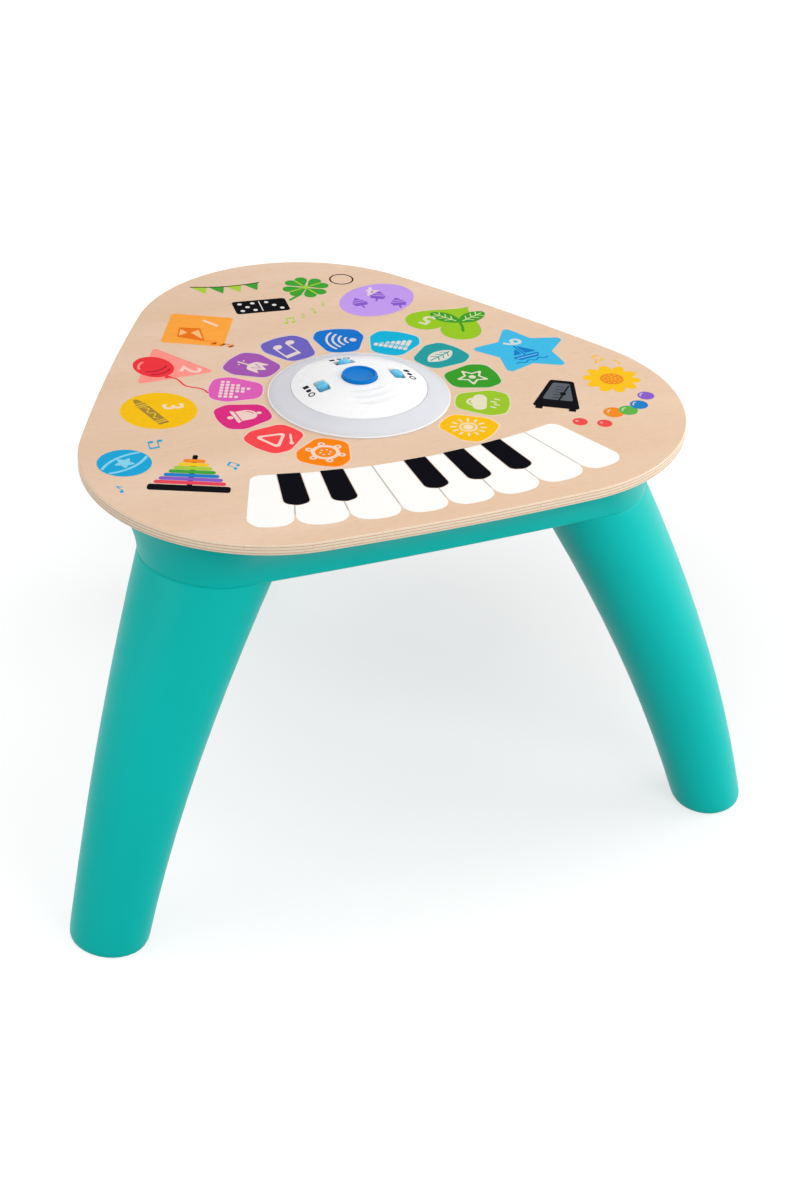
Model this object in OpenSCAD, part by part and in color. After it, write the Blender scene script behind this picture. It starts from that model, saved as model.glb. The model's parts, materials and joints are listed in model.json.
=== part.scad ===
// Musical activity table for toddlers: a plywood top with touch-sensitive prints, a lit control
// dome in its middle, a moulded tray under it and three bowed legs.
// Millimetres, +Z up. The origin is on the floor, under the middle of the object's box.
// Sub-parts are drawn about the dome's axis, with z = 0 on the plywood's top face.

/* [Table] */
// Height of the top face above the floor
table_h = 352; // [290:1:425]
// Thickness of the plywood
ply_t = 9; // [6:0.5:12]
// Distance from the axis to the centre of each corner arc
top_corner_dist = 116.8; // [97:0.1:141]
// Radius of each corner arc
top_corner_r = 141.9; // [130:1:155]
// Half of the angle that each bowed side turns through
top_side_turn = 3; // [2:0.5:5]
// Round-over on the plywood's edges
ply_round = 1.2; // [0.5:0.1:2]

/* [Tray] */
// Depth of the moulded tray below the plywood
tray_depth = 51; // [45:1:60]
// Thickness of the moulded walls
wall = 3; // [2.5:0.1:3.5]
// How far the tray's rim stands back from the plywood's edge
rim_back = 14; // [12:0.5:18]
// Half of the angle that each side of the tray's foot line turns through
tray_side_turn = 2; // [1.5:0.1:3]
// Exponent of the cove between foot line and rim
cove_power = 2; // [1.6:0.1:2.4]

/* [Legs] */
// How far a leg's seam lies inside the top's corner
leg_inset = 26.4; // [20:0.1:32]
// How far the foot's outer line lies outside the seam's
leg_splay = 103.4; // [80:0.1:115]
// Outward bow of the leg's outer line at half height
leg_bow = 10.7; // [5:0.5:14]
// Half of the leg's radial size at the seam
leg_a_top = 47.7; // [44:0.5:52]
// Half of the leg's radial size at the floor
leg_a_foot = 29; // [24:0.5:33]
// Half of the leg's width at the seam
leg_b_top = 58; // [52:0.5:62]
// Half of the leg's width at the floor
leg_b_foot = 33; // [28:0.5:37]
// Exponent of the leg's narrowing
leg_taper_power = 1.5; // [1.2:0.1:1.8]
// Round-over of the foot
foot_round = 6; // [3:0.5:8]
// Depth of the spigot in its socket
spigot_h = 36; // [25:1:40]
// Thickness of the screw tongue
tongue_t = 4; // [3:0.5:5]

/* [Dome] */
// Radius of the white dome
dome_r = 54; // [45:0.1:65]
// Width of the translucent ring round the dome
ring_w = 18.5; // [16:0.5:22]
// Height of the dome's edge above the plywood
dome_edge_z = 8; // [6:0.5:10]
// Height of the dome's crown above its edge
dome_rise = 9.5; // [8:0.5:11]
// Thickness of the dome's shell
dome_wall = 2.2; // [1.8:0.1:2.5]
// Radius of the main button
button_r = 14; // [11.5:0.1:17]
// Height of the main button above the dome's crown
button_proud = 2.2; // [2:0.1:4]
// Travel of the main button
button_travel = 1.5; // [1:0.1:1.8]
// Distance of the slide knobs from the axis
knob_dist = 32; // [30:0.5:34]
// Travel of a slide knob each way
knob_travel = 3; // [2:0.5:3.5]

/* [Power and sound] */
// Radius of the speaker's frame
speaker_r = 28.5; // [25:0.5:30]
// Length of a battery cell
cell_l = 50.5; // [48:0.5:52]
// Radius of a battery cell
cell_r = 7.1; // [5.2:0.1:8.6]
// Number of cells side by side
cell_count = 3; // [2:1:3]

/* [Screws] */
// Radius of the long screws' shanks
screw_r = 1.5; // [1.3:0.1:1.7]
// Radius of the long screws' heads
screw_head_r = 3.4; // [3:0.1:3.6]

/* [Hidden] */
$fn = 64;

clear = 0.3;
corners = [210, 330, 90];
tray_z = -ply_t - tray_depth;
leg_len = table_h + tray_z;
floor_t = wall;
leg_out_top = top_corner_dist + top_corner_r - leg_inset;
leg_out_foot = leg_out_top + leg_splay;

// Outlines: [centre distance, radial half size, tangential half size, half turn of a side]
top_spec = [top_corner_dist, top_corner_r, top_corner_r, top_side_turn];
rim_spec = [top_corner_dist, top_corner_r - rim_back, top_corner_r - rim_back, top_side_turn];
foot_spec = [leg_out_top - leg_a_top, leg_a_top, leg_b_top, tray_side_turn];

function turn2(p, a) = [p[0] * cos(a) - p[1] * sin(a), p[0] * sin(a) + p[1] * cos(a)];
// Point of a corner's ellipse whose normal lies f degrees off the corner's direction
function corner_point(s, f) =
    let (k = norm([s[1] * cos(f), s[2] * sin(f)]))
    [s[0] + s[1] * s[1] * cos(f) / k, s[2] * s[2] * sin(f) / k];
// Where a corner ends, measured along and across the next side's normal
function corner_end(s) = turn2(corner_point(s, 60 - s[3]), -60);
function side_radius(s) = -corner_end(s)[1] / sin(s[3]);
function side_distance(s) = corner_end(s)[0] + side_radius(s) * (1 - cos(s[3]));
// Three corners joined by bowed sides, drawn in by a distance along the normals
function outline(s, inset = 0, nc = 18, ns = 7) = [
    for (a = [30, 150, 270]) each concat(
        [for (i = [0 : nc]) let (f = (60 - s[3]) * (2 * i / nc - 1))
            turn2(corner_point(s, f) - inset * [cos(f), sin(f)], a + 60)],
        [for (i = [1 : ns - 1]) let (g = s[3] * (2 * i / ns - 1), e = corner_end(s), r = side_radius(s))
            turn2([e[0] + r * (cos(g) - cos(s[3])) - inset * cos(g), (r - inset) * sin(g)], a + 120)])];

function mix(p, q, t) = p + (q - p) * t;
function lift(points, z) = [for (p = points) [p[0], p[1], z]];

// The tray's outline at a height, from its foot line up through the cove to the rim
function cove_spec(z) = mix(foot_spec, rim_spec, pow((z - tray_z) / tray_depth, cove_power));

// Leg: outer line, half sizes and centre at a share t of the way down
function leg_out(t) = mix(leg_out_top, leg_out_foot, t) + 4 * leg_bow * t * (1 - t);
function leg_a(t) = mix(leg_a_top, leg_a_foot, t);
function leg_b(t) = leg_b_foot + (leg_b_top - leg_b_foot) * pow(1 - t, leg_taper_power);
function leg_section(t, inset = 0, n = 32) =
    let (a = leg_a(t), c = leg_out(t) - a)
    [for (i = [0 : n - 1]) let (u = 360 * i / n)
        [c + (a - inset) * cos(u), (leg_b(t) - inset) * sin(u), tray_z - t * leg_len]];

// Where the object's box lies along Y, which puts the dome's axis
foot_reach = leg_out(1 - foot_round / leg_len);
axis_y = (side_distance(top_spec) - foot_reach) / 2;

// Dome sphere
dome_sphere_r = (dome_r * dome_r + dome_rise * dome_rise) / (2 * dome_rise);
dome_centre_z = dome_edge_z + dome_rise - dome_sphere_r;
crown_z = dome_edge_z + dome_rise;
function dome_z(r) = dome_centre_z + sqrt(dome_sphere_r * dome_sphere_r - r * r);
ring_r = dome_r + ring_w;
ring_edge_z = 1.4;
ring_wall = 2.2;
ring_bore = dome_r + clear;
dome_rim_z = 2.2;
// Underside of the ring's slope
function ring_under(r) =
    (dome_edge_z - ring_wall) * (skirt_r - skirt_t - r) / (skirt_r - skirt_t - ring_bore);
hub_hole_r = ring_r - 7.5;
skirt_r = hub_hole_r - clear;
skirt_t = 2;
skirt_z = -12;
flange_t = 2.5;
hub_floor_z = -22;
hub_post_dist = hub_hole_r - 7;
hub_post_angles = [45, 135, 225, 315];
board_t = 1.6;
board_z = -2;
board_r = hub_hole_r - 4;
dome_post_angles = [30, 150, 270];
dome_post_dist = dome_r - 8;

// Main button
button_top_z = crown_z + button_proud;
button_flange_r = button_r + 2.4;
button_flange_t = 1.2;
button_hole_r = button_r + 0.5;
button_round = 1.2;
dish_r = 37.4;
dish_depth = 1.4;
button_flange_top = dome_z(button_flange_r) - dome_wall - 0.5;
stem_r = 3;
switch_top_z = board_z + board_t + 5;
plunger_top_z = switch_top_z + 1.2 + button_travel;

// Slide knobs
slot_l = 17;
slot_w = 10;
slot_round = 1.5;
knob_l = slot_l - 2 * knob_travel - 0.6;
knob_w = slot_w - 0.8;
knob_round = 1.2;
knob_h = 2.3;
knob_angles = [0, 90, 180];
knob_tilt = asin(knob_dist / dome_sphere_r);
switch_body = [11, 17, 6];

// Sockets, tongues and their screws
spigot_len = 34;
spigot_r = 22;
socket_wall = 2.5;
leg_c_top = leg_out_top - leg_a_top;
tongue_in = 26;
tongue_w = 52;
tongue_round = 8;
tongue_screw_dist = leg_out_top - 2 * leg_a_top - 13;
tongue_screw_y = 16;
leg_boss_h = 18;

// Wells of the screws that hold the top
well_dist_side = side_distance(foot_spec) - 23.5;
well_dist_leg = leg_c_top - 36.6;
well_turn = 29;
well_r = 4.4;
well_wall = 1.8;
well_cap = 4;
well_places = concat([for (a = [30, 150, 270]) well_dist_side * [cos(a), sin(a)]],
    [for (a = corners, s = [-1, 1]) well_dist_leg * [cos(a + s * well_turn), sin(a + s * well_turn)]]);

// Speaker
speaker_y = -62;
speaker_flange_t = 2;
grille_pitch = 6.4;
grille_r = 1.7;
clamp_screw_dist = speaker_r + 6;
clamp_angles = [30, 150, 270];

// Battery bay, open below and closed by the door
bay_y = 42;
cell_pitch = 2 * cell_r + 1;
bay_w = cell_count * cell_pitch + 0.6;
bay_l = cell_l + 7;
door_t = 2.6;
door_ledge = 3;
door_w = bay_w + 2 * door_ledge;
door_l = bay_l + 2 * door_ledge;
bay_depth = door_t + 2 * cell_r + 1.6;
bay_wall = 2;
tab_x = 14;
tab_w = 8;
tab_l = 2.4;
tab_t = 1.2;
tab_z = 1.2;
pocket_h = 4.3;
nose_r = door_t / 2;
door_lobe_r = 6;
door_screw_y = bay_y + door_l / 2 + 1.5;
door_axis_y = bay_y - door_l / 2 + nose_r;
collar_w = door_w + 2 * clear + 2 * bay_wall;
collar_l = door_l + 2 * clear + 2 * bay_wall + 4;
lobe_wall_r = door_lobe_r + clear + bay_wall;

module placed() translate([0, axis_y, table_h]) children();
module at(r, a, z = 0) rotate(a) translate([r, 0, z]) children();

// A closed solid through rings of points, the lowest ring first
module loft(rings) {
    n = len(rings[0]);
    m = len(rings);
    polyhedron(
        points = [for (r = rings) each r],
        faces = concat(
            [[for (j = [0 : n - 1]) j]],
            [for (k = [0 : m - 2], j = [0 : n - 1]) let (a = k * n + j, b = k * n + (j + 1) % n)
                each [[a, a + n, b + n], [a, b + n, b]]],
            [[for (j = [n - 1 : -1 : 0]) (m - 1) * n + j]]));
}

module disc(r, z0, z1) translate([0, 0, z0]) cylinder(r = r, h = z1 - z0);
module slab(w, l, z0, z1) translate([-w / 2, -l / 2, z0]) cube([w, l, z1 - z0]);
module round_slab(w, l, r, z0, z1) translate([0, 0, z0]) linear_extrude(z1 - z0) round_rect(w, l, r);

// Rectangle with rounded corners
module round_rect(w, l, r) {
    square([w, l - 2 * r], center = true);
    square([w - 2 * r, l], center = true);
    for (x = [-1, 1], y = [-1, 1]) translate([x * (w / 2 - r), y * (l / 2 - r)]) circle(r = r);
}

// Flat shape with round ends, along Y
module stadium(len, r) {
    square([2 * r, 2 * len - 2 * r], center = true);
    for (s = [-1, 1]) translate([0, s * (len - r)]) circle(r = r);
}

module screw(head_r, head_h, shank_r, length) {
    difference() {
        translate([0, 0, -head_h]) cylinder(r = head_r, h = head_h);
        for (a = [0, 90]) rotate(a)
            translate([-head_r * 0.6, -0.4, -head_h - 1]) cube([head_r * 1.2, 0.8, head_h * 0.6 + 1]);
    }
    cylinder(r = shank_r, h = length - shank_r);
    translate([0, 0, length - shank_r]) cylinder(r1 = shank_r, r2 = 0.4, h = shank_r);
}

// A round lead swept along a route, one ring of points at each turn
function unit(v) = v / norm(v);
function lead_way(p, i) = unit((i > 0 ? unit(p[i] - p[i - 1]) : [0, 0, 0])
    + (i < len(p) - 1 ? unit(p[i + 1] - p[i]) : [0, 0, 0]));
function lead_ring(p, i, r, n) = let (u = lead_way(p, i), v = unit(cross(u, [1, 0, 0])), w = cross(u, v))
    [for (k = [0 : n - 1]) p[i] + r * (cos(360 * k / n) * v - sin(360 * k / n) * w)];
module lead(p, r) loft([for (i = [0 : len(p) - 1]) lead_ring(p, i, r, 8)]);

// ---- Top ----

module top_panel() placed() color([0.88, 0.76, 0.64]) difference() {
    loft([for (e = [[-ply_t, 1], [-ply_t + ply_round * 0.3, 0.3], [-ply_t + ply_round, 0],
            [-ply_round, 0], [-ply_round * 0.3, 0.3], [0, 1]])
        lift(outline(top_spec, ply_round * e[1]), e[0])]);
    disc(hub_hole_r, -ply_t - 1, 1);
    for (p = well_places) translate([p[0], p[1], -ply_t - 1]) cylinder(r = screw_r + 0.1, h = 8);
}

film_t = 0.4;
film_z = -ply_t - film_t;
module touch_film() placed() color([0.85, 0.6, 0.3]) translate([0, 0, film_z])
    linear_extrude(film_t) difference() {
        polygon(outline(top_spec, rim_back + 7));
        circle(r = ring_r + 2.5);
        for (p = well_places) translate(p) circle(r = well_r + well_wall + 1);
    }

// ---- Touch pads under the prints, on the film ----

pad_count = 12;
pad_dist = ring_r + 25.5;
pad_step = 25.9;
pad_t = 0.2;
key_centre_y = 340;
key_back_r = 453;
key_front_r = 527;
key_step = 4.08;
key_count = 8;
shape_places = [[-81, 153], [-128, 96], [-157, 28], [81, 157], [121, 98], [158, 30]];
function pad_angle(i) = 90 + 12.95 + pad_step * (i < 6 ? i : -1 - (i - 6));

module touch_pads() placed() color([0.75, 0.45, 0.25]) translate([0, 0, film_z - pad_t])
    linear_extrude(pad_t) difference() {
        union() {
            for (i = [0 : pad_count - 1]) at(pad_dist, pad_angle(i)) square([26, 28], center = true);
            for (p = shape_places) translate(p) circle(r = 14);
            for (i = [0 : key_count - 1]) translate([0, key_centre_y])
                rotate(-90 + key_step * (i - (key_count - 1) / 2)) translate([key_back_r + 24, 0])
                    square([36, 24], center = true);
        }
        for (p = well_places) translate(p) circle(r = well_r + well_wall + 1);
    }

module film_tail() placed() color([0.85, 0.6, 0.3]) {
    translate([-8, ring_r + 3.5, film_z - 4]) cube([16, 0.5, 4]);
    translate([-8, hub_hole_r - 8, film_z - 4.5]) cube([16, ring_r + 12 - hub_hole_r, 0.5]);
    translate([-8, hub_hole_r - 8.5, film_z - 4.5]) cube([16, 0.5, 4.5 + film_t]);
}

// ---- Tray ----

module tray_shell() {
    seam = 0.8;
    outer = [for (e = [0, 0.02, 0.12, 0.25, 0.38, 0.5, 0.62, 0.73, 0.83, 0.92, 1])
        let (z = tray_z + e * tray_depth)
        lift(outline(cove_spec(z), e == 0 ? seam : 0), z)];
    inner = [for (e = [1, 0.85, 0.67, 0.48, 0.27, 0.1, 0])
        let (z = tray_z + e * tray_depth, lean = 1 + 0.75 * e)
        lift(outline(cove_spec(z), wall * lean), z)];
    rings = concat(outer, inner);
    n = len(rings[0]);
    m = len(rings);
    polyhedron(
        points = [for (r = rings) each r],
        faces = [for (k = [0 : m - 1], j = [0 : n - 1])
            let (a = k * n + j, b = k * n + (j + 1) % n, d = ((k + 1) % m) * n + j,
                c = ((k + 1) % m) * n + (j + 1) % n)
            each [[a, d, c], [a, c, b]]]);
}

module floor_cuts() {
    for (a = corners) rotate(a) {
        translate([leg_c_top, 0]) stadium(spigot_len + clear, spigot_r + clear);
        for (s = [-1, 1]) translate([tongue_screw_dist, s * tongue_screw_y]) circle(r = screw_r + 0.1);
    }
    for (p = well_places) translate(p) circle(r = well_r);
    translate([0, speaker_y]) grille();
    translate([0, bay_y]) square([collar_w - 1, collar_l - 1], center = true);
    translate([0, door_screw_y]) circle(r = lobe_wall_r - 0.5);
}

// Sound holes: rings of holes round a middle one
module grille() {
    circle(r = grille_r);
    for (ring = [1 : 3], i = [0 : 6 * ring - 1])
        rotate(360 * i / (6 * ring) + 15 * ring) translate([ring * grille_pitch, 0]) circle(r = grille_r);
}

module bay_shell() {
    difference() {
        union() {
            translate([0, bay_y, tray_z]) slab(collar_w, collar_l, 0, door_t + 4);
            translate([0, bay_y, tray_z])
                slab(bay_w + 2 * bay_wall, bay_l + 2 * bay_wall, 1, bay_depth + bay_wall);
            translate([0, door_screw_y, tray_z]) cylinder(r = lobe_wall_r, h = door_t + 8);
        }
        translate([0, bay_y, tray_z]) {
            slab(bay_w, bay_l, -1, bay_depth);
            slab(door_w + 2 * clear, door_l + 2 * clear, -1, door_t);
        }
        translate([0, door_screw_y, tray_z - 1]) cylinder(r = door_lobe_r + clear, h = door_t + 1);
        translate([0, door_screw_y, tray_z]) cylinder(r = 2, h = door_t + 7);
        for (s = [-1, 1])
            translate([s * tab_x, door_axis_y - nose_r - clear - tab_l / 2, tray_z + tab_z - clear])
                slab(tab_w + 2 * clear, tab_l + 6, 0, pocket_h);
    }
}

// A rib on the tray's floor, between two distances from the axis
rib_t = 2;
rib_h = 14;
module rib(r0, r1) translate([r0, -rib_t / 2, tray_z + 1]) cube([r1 - r0, rib_t, rib_h]);

module ribs() {
    socket_end = spigot_r + clear + socket_wall / 2;
    well_end = well_dist_side - well_r - well_wall / 2;
    for (a = corners, s = [-1, 1]) rotate(a) translate([0, s * tongue_screw_y, 0])
        rib(tongue_screw_dist + 3, leg_c_top - socket_end + 1);
    for (a = [30, 150]) rotate(a) rib((collar_w - bay_wall) / 2 / cos(30), well_end);
    rotate(270) rib(clamp_screw_dist + 4 - speaker_y, well_end);
}

module tray() placed() color([0.11, 0.71, 0.67]) {
    tray_shell();
    translate([0, 0, tray_z]) linear_extrude(floor_t) difference() {
        polygon(outline(foot_spec, wall / 2));
        floor_cuts();
    }
    for (a = corners) rotate(a) {
        translate([leg_c_top, 0, tray_z]) linear_extrude(spigot_h + 2) difference() {
            stadium(spigot_len + clear + socket_wall, spigot_r + clear + socket_wall);
            stadium(spigot_len + clear, spigot_r + clear);
        }
        for (s = [-1, 1]) translate([tongue_screw_dist, s * tongue_screw_y, tray_z])
            difference() {
                cylinder(r = 4, h = leg_boss_h);
                disc(screw_r + 0.1, -1, leg_boss_h - 2);
            }
    }
    for (p = well_places) translate([p[0], p[1], tray_z]) difference() {
        cylinder(r = well_r + well_wall, h = tray_depth);
        disc(well_r, -1, tray_depth - well_cap);
        disc(screw_r + 0.3, 0, tray_depth + 1);
    }
    translate([0, speaker_y, tray_z]) {
        difference() {
            disc(speaker_r + 2.5, 1, floor_t + speaker_flange_t - clear);
            disc(speaker_r + clear, 0, floor_t + 4);
        }
        for (a = clamp_angles) at(clamp_screw_dist, a) difference() {
            disc(3, 1, floor_t + speaker_flange_t);
            disc(1.2, floor_t, floor_t + 6);
        }
    }
    bay_shell();
    ribs();
}

// ---- Legs ----

// Flat tongue on the leg's inner side, which two screws hold to the tray's floor
module tongue() {
    start = leg_c_top - leg_a_top - tongue_in + 4;
    difference() {
        union() {
            translate([start, -tongue_w / 2 + tongue_round])
                square([tongue_in + 20, tongue_w - 2 * tongue_round]);
            for (s = [-1, 1]) translate([start + tongue_round, s * (tongue_w / 2 - tongue_round)])
                circle(r = tongue_round);
            translate([start + tongue_round, -tongue_w / 2]) square([tongue_in + 8, tongue_w]);
        }
        for (s = [-1, 1]) translate([tongue_screw_dist, s * tongue_screw_y]) circle(r = screw_r + 0.4);
    }
}

module leg() {
    depth = foot_round / leg_len;
    foot = [for (e = [[1, 1], [0.75, 0.34], [0.4, 0.08], [0, 0]])
        leg_section(1 - (1 - e[0]) * depth, 0.45 * foot_round * e[1])];
    shaft = [for (t = [0.9, 0.8, 0.7, 0.6, 0.5, 0.4, 0.3, 0.2, 0.1, 0.003]) leg_section(t)];
    difference() {
        union() {
            loft(concat(foot, shaft, [leg_section(0, 0.8)]));
            translate([leg_c_top, 0, tray_z - 1]) linear_extrude(spigot_h + 1) stadium(spigot_len, spigot_r);
            translate([0, 0, tray_z - tongue_t]) linear_extrude(tongue_t) tongue();
        }
        loft([for (t = [0.985, 0.75, 0.5, 0.3, 0.15, 0.025]) leg_section(t, wall, 24)]);
        translate([leg_c_top, 0, tray_z - 12]) linear_extrude(spigot_h + 13)
            stadium(spigot_len - wall, spigot_r - wall);
    }
}

module leg_front_left() placed() rotate(corners[0]) color([0.11, 0.71, 0.67]) leg();
module leg_front_right() placed() rotate(corners[1]) color([0.11, 0.71, 0.67]) leg();
module leg_back() placed() rotate(corners[2]) color([0.11, 0.71, 0.67]) leg();

module leg_screws() placed() color([0.7, 0.7, 0.72])
    for (a = corners, s = [-1, 1]) rotate(a)
        translate([tongue_screw_dist, s * tongue_screw_y, tray_z - tongue_t])
            screw(screw_head_r, 2.2, screw_r, tongue_t + leg_boss_h - 4);

module top_screws() placed() color([0.7, 0.7, 0.72])
    for (p = well_places) translate([p[0], p[1], -ply_t - well_cap])
        screw(screw_head_r, 2.2, screw_r, well_cap + ply_t - 2.5);

// ---- Control dome ----

module light_ring() placed() color([0.84, 0.86, 0.89]) difference() {
    union() {
        rotate_extrude($fn = 96) {
            polygon([[ring_bore, dome_edge_z - ring_wall], [ring_bore, dome_edge_z - 0.3],
                [ring_bore + 0.3, dome_edge_z], [ring_r - 0.8, ring_edge_z + 0.2],
                [ring_r, ring_edge_z - 0.6], [ring_r, 0], [skirt_r - skirt_t, 0]]);
            translate([skirt_r - skirt_t, skirt_z]) square([skirt_t, -skirt_z + 1.5]);
        }
        for (a = hub_post_angles) at(hub_post_dist, a) {
            disc(4.4, skirt_z, board_z + board_t + 2);
            translate([0, -1, skirt_z]) cube([5.5, 2, board_z - skirt_z]);
        }
    }
    for (a = hub_post_angles) at(hub_post_dist, a) disc(1.3, skirt_z - 1, board_z);
}

module knob_slot() round_slab(slot_w, slot_l, slot_round, crown_z - 12, crown_z + 8);

// Three shallow sound waves on the dome's front
wave_r = 1.1;
wave_sink = 0.75;
module waves() for (i = [0 : 2]) let (r = 24 + 7 * i, half = 42 - 7 * i)
    rotate(-90 - half) rotate_extrude(angle = 2 * half, $fn = 96)
        translate([r, dome_z(r) - wave_sink]) circle(r = wave_r, $fn = 24);

module dome_cover() placed() color([0.97, 0.97, 0.97]) difference() {
    union() {
        rotate_extrude($fn = 96) {
            intersection() {
                translate([0, dome_centre_z]) difference() {
                    circle(r = dome_sphere_r, $fn = 360);
                    circle(r = dome_sphere_r - dome_wall, $fn = 360);
                }
                translate([button_hole_r, dome_edge_z - dome_wall]) square([dome_r - button_hole_r, 30]);
            }
            polygon([[dome_r - dome_wall, dome_edge_z + 0.2], [dome_r, dome_edge_z],
                [dome_r, ring_under(dome_r) - 0.2], [dome_r + 3, ring_under(dome_r + 3) - 0.2],
                [dome_r + 3, dome_rim_z], [dome_r - dome_wall, dome_rim_z]]);
        }
        for (a = dome_post_angles) at(dome_post_dist, a)
            disc(3.2, board_z + board_t, dome_z(dome_post_dist + 3.2) - 1);
        waves();
    }
    for (a = knob_angles) at(knob_dist, a) knob_slot();
    for (a = dome_post_angles) at(dome_post_dist, a) disc(1.2, board_z, 6);
}

module hub_base() placed() color([0.9, 0.9, 0.9]) difference() {
    union() {
        disc(ring_r + 1.5, -ply_t - flange_t, -ply_t);
        disc(hub_hole_r, hub_floor_z, -ply_t - 1);
    }
    disc(skirt_r + 0.05, skirt_z - 0.2, 0);
    disc(hub_hole_r - 2.5, hub_floor_z + 2, 0);
    for (a = hub_post_angles) at(hub_post_dist, a) disc(1.7, hub_floor_z - 1, 0);
    translate([-9, hub_hole_r - 14, film_z - 6]) cube([18, 30, 6.5]);
    at(30, 270) disc(6, hub_floor_z - 1, hub_floor_z + 3);
}

module hub_screws() placed() color([0.7, 0.7, 0.72])
    for (a = hub_post_angles) at(hub_post_dist, a, hub_floor_z) screw(2.9, 2, 1.2, 18);

module main_button() placed() color([0.12, 0.43, 0.78]) {
    rotate_extrude($fn = 96) difference() {
        union() {
            translate([0, button_flange_top - button_flange_t]) square([button_flange_r, button_flange_t]);
            translate([0, button_flange_top - button_flange_t])
                square([button_r, button_top_z - button_round - button_flange_top + button_flange_t]);
            translate([0, button_top_z - 1.3]) square([button_r - button_round, 1.3]);
            translate([button_r - button_round, button_top_z - button_round])
                circle(r = button_round, $fn = 32);
        }
        translate([0, button_top_z + dish_r - dish_depth]) circle(r = dish_r, $fn = 360);
        translate([stem_r, button_flange_top - 3]) square([button_r - stem_r - 2, 4.4]);
    }
    disc(stem_r, plunger_top_z, button_flange_top);
}

// Coil spring round the stem, resting on the board
spring_r = 6.4;
spring_wire = 0.5;
spring_turns = 4;
spring_z0 = switch_top_z + 0.1;
spring_z1 = button_flange_top + 1.3;
module button_spring() placed() color([0.75, 0.75, 0.78]) {
    steps = 16 * spring_turns;
    sides = 6;
    rise = spring_z1 - spring_z0 - 2 * spring_wire;
    loft([for (i = [0 : steps]) let (u = 360 * i / 16, z = spring_z0 + spring_wire + rise * i / steps)
        [for (k = [0 : sides - 1]) let (v = -360 * k / sides, r = spring_r + spring_wire * cos(v))
            [r * cos(u), r * sin(u), z + spring_wire * sin(v)]]]);
}

module button_switch() placed() color([0.2, 0.2, 0.22]) {
    slab(16, 16, board_z + board_t, switch_top_z);
    disc(3, switch_top_z - 1, switch_top_z + 1);
}

// A slide knob: a faceted cap in the dome's slot, a wide foot under the shell and a driving pin
module knob() {
    $fn = 16;
    hull() {
        round_slab(knob_w, knob_l, knob_round, -2.6, 0.2);
        round_slab(knob_w - 1, knob_l - 1, knob_round, -2.6, 0.9);
    }
    hull() {
        round_slab(knob_w - 1, knob_l - 1, knob_round, 0.5, 0.9);
        round_slab(knob_w - 4.4, knob_l - 5, knob_round, 0.8, knob_h);
    }
    slab(knob_w - 1, knob_l - 1, -4.4, -2.5);
    rotate([0, -knob_tilt, 0]) slab(3, 3, -8, -3.5);
}
module slider(a) placed() color([0.43, 0.78, 0.92])
    at(knob_dist, a, dome_z(knob_dist)) rotate([0, knob_tilt, 0]) knob();
module left_slider() slider(180);
module right_slider() slider(0);
module back_slider() slider(90);

module slide_switches() placed() color([0.16, 0.16, 0.18]) for (a = knob_angles)
    at(knob_dist, a, board_z + board_t) difference() {
        slab(switch_body[0], switch_body[1], 0, switch_body[2] + 2);
        slab(3.8, 3 + 2 * knob_travel + 1, 2, switch_body[2] + 4);
    }

module main_board() placed() color([0.12, 0.42, 0.25]) difference() {
    disc(board_r, board_z, board_z + board_t);
    for (a = hub_post_angles) at(hub_post_dist + 1, a) disc(6, board_z - 1, board_z + 3);
    for (a = dome_post_angles) at(dome_post_dist, a) disc(1.6, board_z - 1, board_z + 3);
}

module board_chips() placed() color([0.12, 0.12, 0.13]) {
    translate([-18, -20, 0]) slab(14, 14, board_z - 1.6, board_z);
    translate([14, -24, 0]) slab(8, 12, board_z - 1.6, board_z);
    translate([20, 18, 0]) slab(6, 6, board_z - 1.2, board_z);
    translate([0, 49, 0]) slab(20, 5, board_z - 4, board_z);
    translate([-22, 22, 0]) disc(4, board_z - 9, board_z);
    translate([-32, 14, 0]) disc(3, board_z - 7, board_z);
    translate([0, -30, 0]) slab(12, 5, board_z - 5, board_z);
}

module ring_lights() placed() color([0.95, 0.95, 0.85]) for (i = [0 : 11]) rotate(30 * i)
    translate([board_r - 3.6, 0, 0]) slab(5, 5, board_z + board_t, board_z + board_t + 1.6);

module board_screws() placed() color([0.7, 0.7, 0.72])
    for (a = dome_post_angles) at(dome_post_dist, a, board_z) screw(2.4, 1.6, 1.1, 7);

// ---- Sound ----

module speaker() placed() color([0.25, 0.25, 0.27]) translate([0, speaker_y, tray_z + floor_t]) {
    rotate_extrude($fn = 96) {
        polygon([[speaker_r - 4, 0], [speaker_r, 0], [speaker_r, speaker_flange_t],
            [speaker_r - 3, speaker_flange_t], [18, 10], [18, 11.5], [11, 11.5], [11, 10], [16, 10],
            [speaker_r - 4, 1.4]]);
        translate([0, 11.5]) square([15, 6.5]);
        polygon([[0, 3.4], [6, 3], [9, 5.6], [speaker_r - 6, 1.2], [speaker_r - 4, 0.6], [speaker_r - 4, 1.2],
            [speaker_r - 6, 1.8], [9.4, 6.6], [9.4, 11.5], [0, 11.5]]);
    }
    translate([-6, 15, 5]) cube([12, 2, 7]);
}

module speaker_clamp() placed() color([0.16, 0.16, 0.18])
    translate([0, speaker_y, tray_z + floor_t + speaker_flange_t]) difference() {
        union() {
            disc(speaker_r + 1.5, 0, 1.6);
            for (a = clamp_angles) at(clamp_screw_dist, a) disc(3.4, 0, 1.6);
            for (a = clamp_angles) rotate(a) translate([speaker_r - 2, -3.4, 0]) cube([8, 6.8, 1.6]);
        }
        disc(speaker_r - 2.4, -1, 3);
        for (a = clamp_angles) at(clamp_screw_dist, a) disc(1.4, -1, 3);
    }

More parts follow.
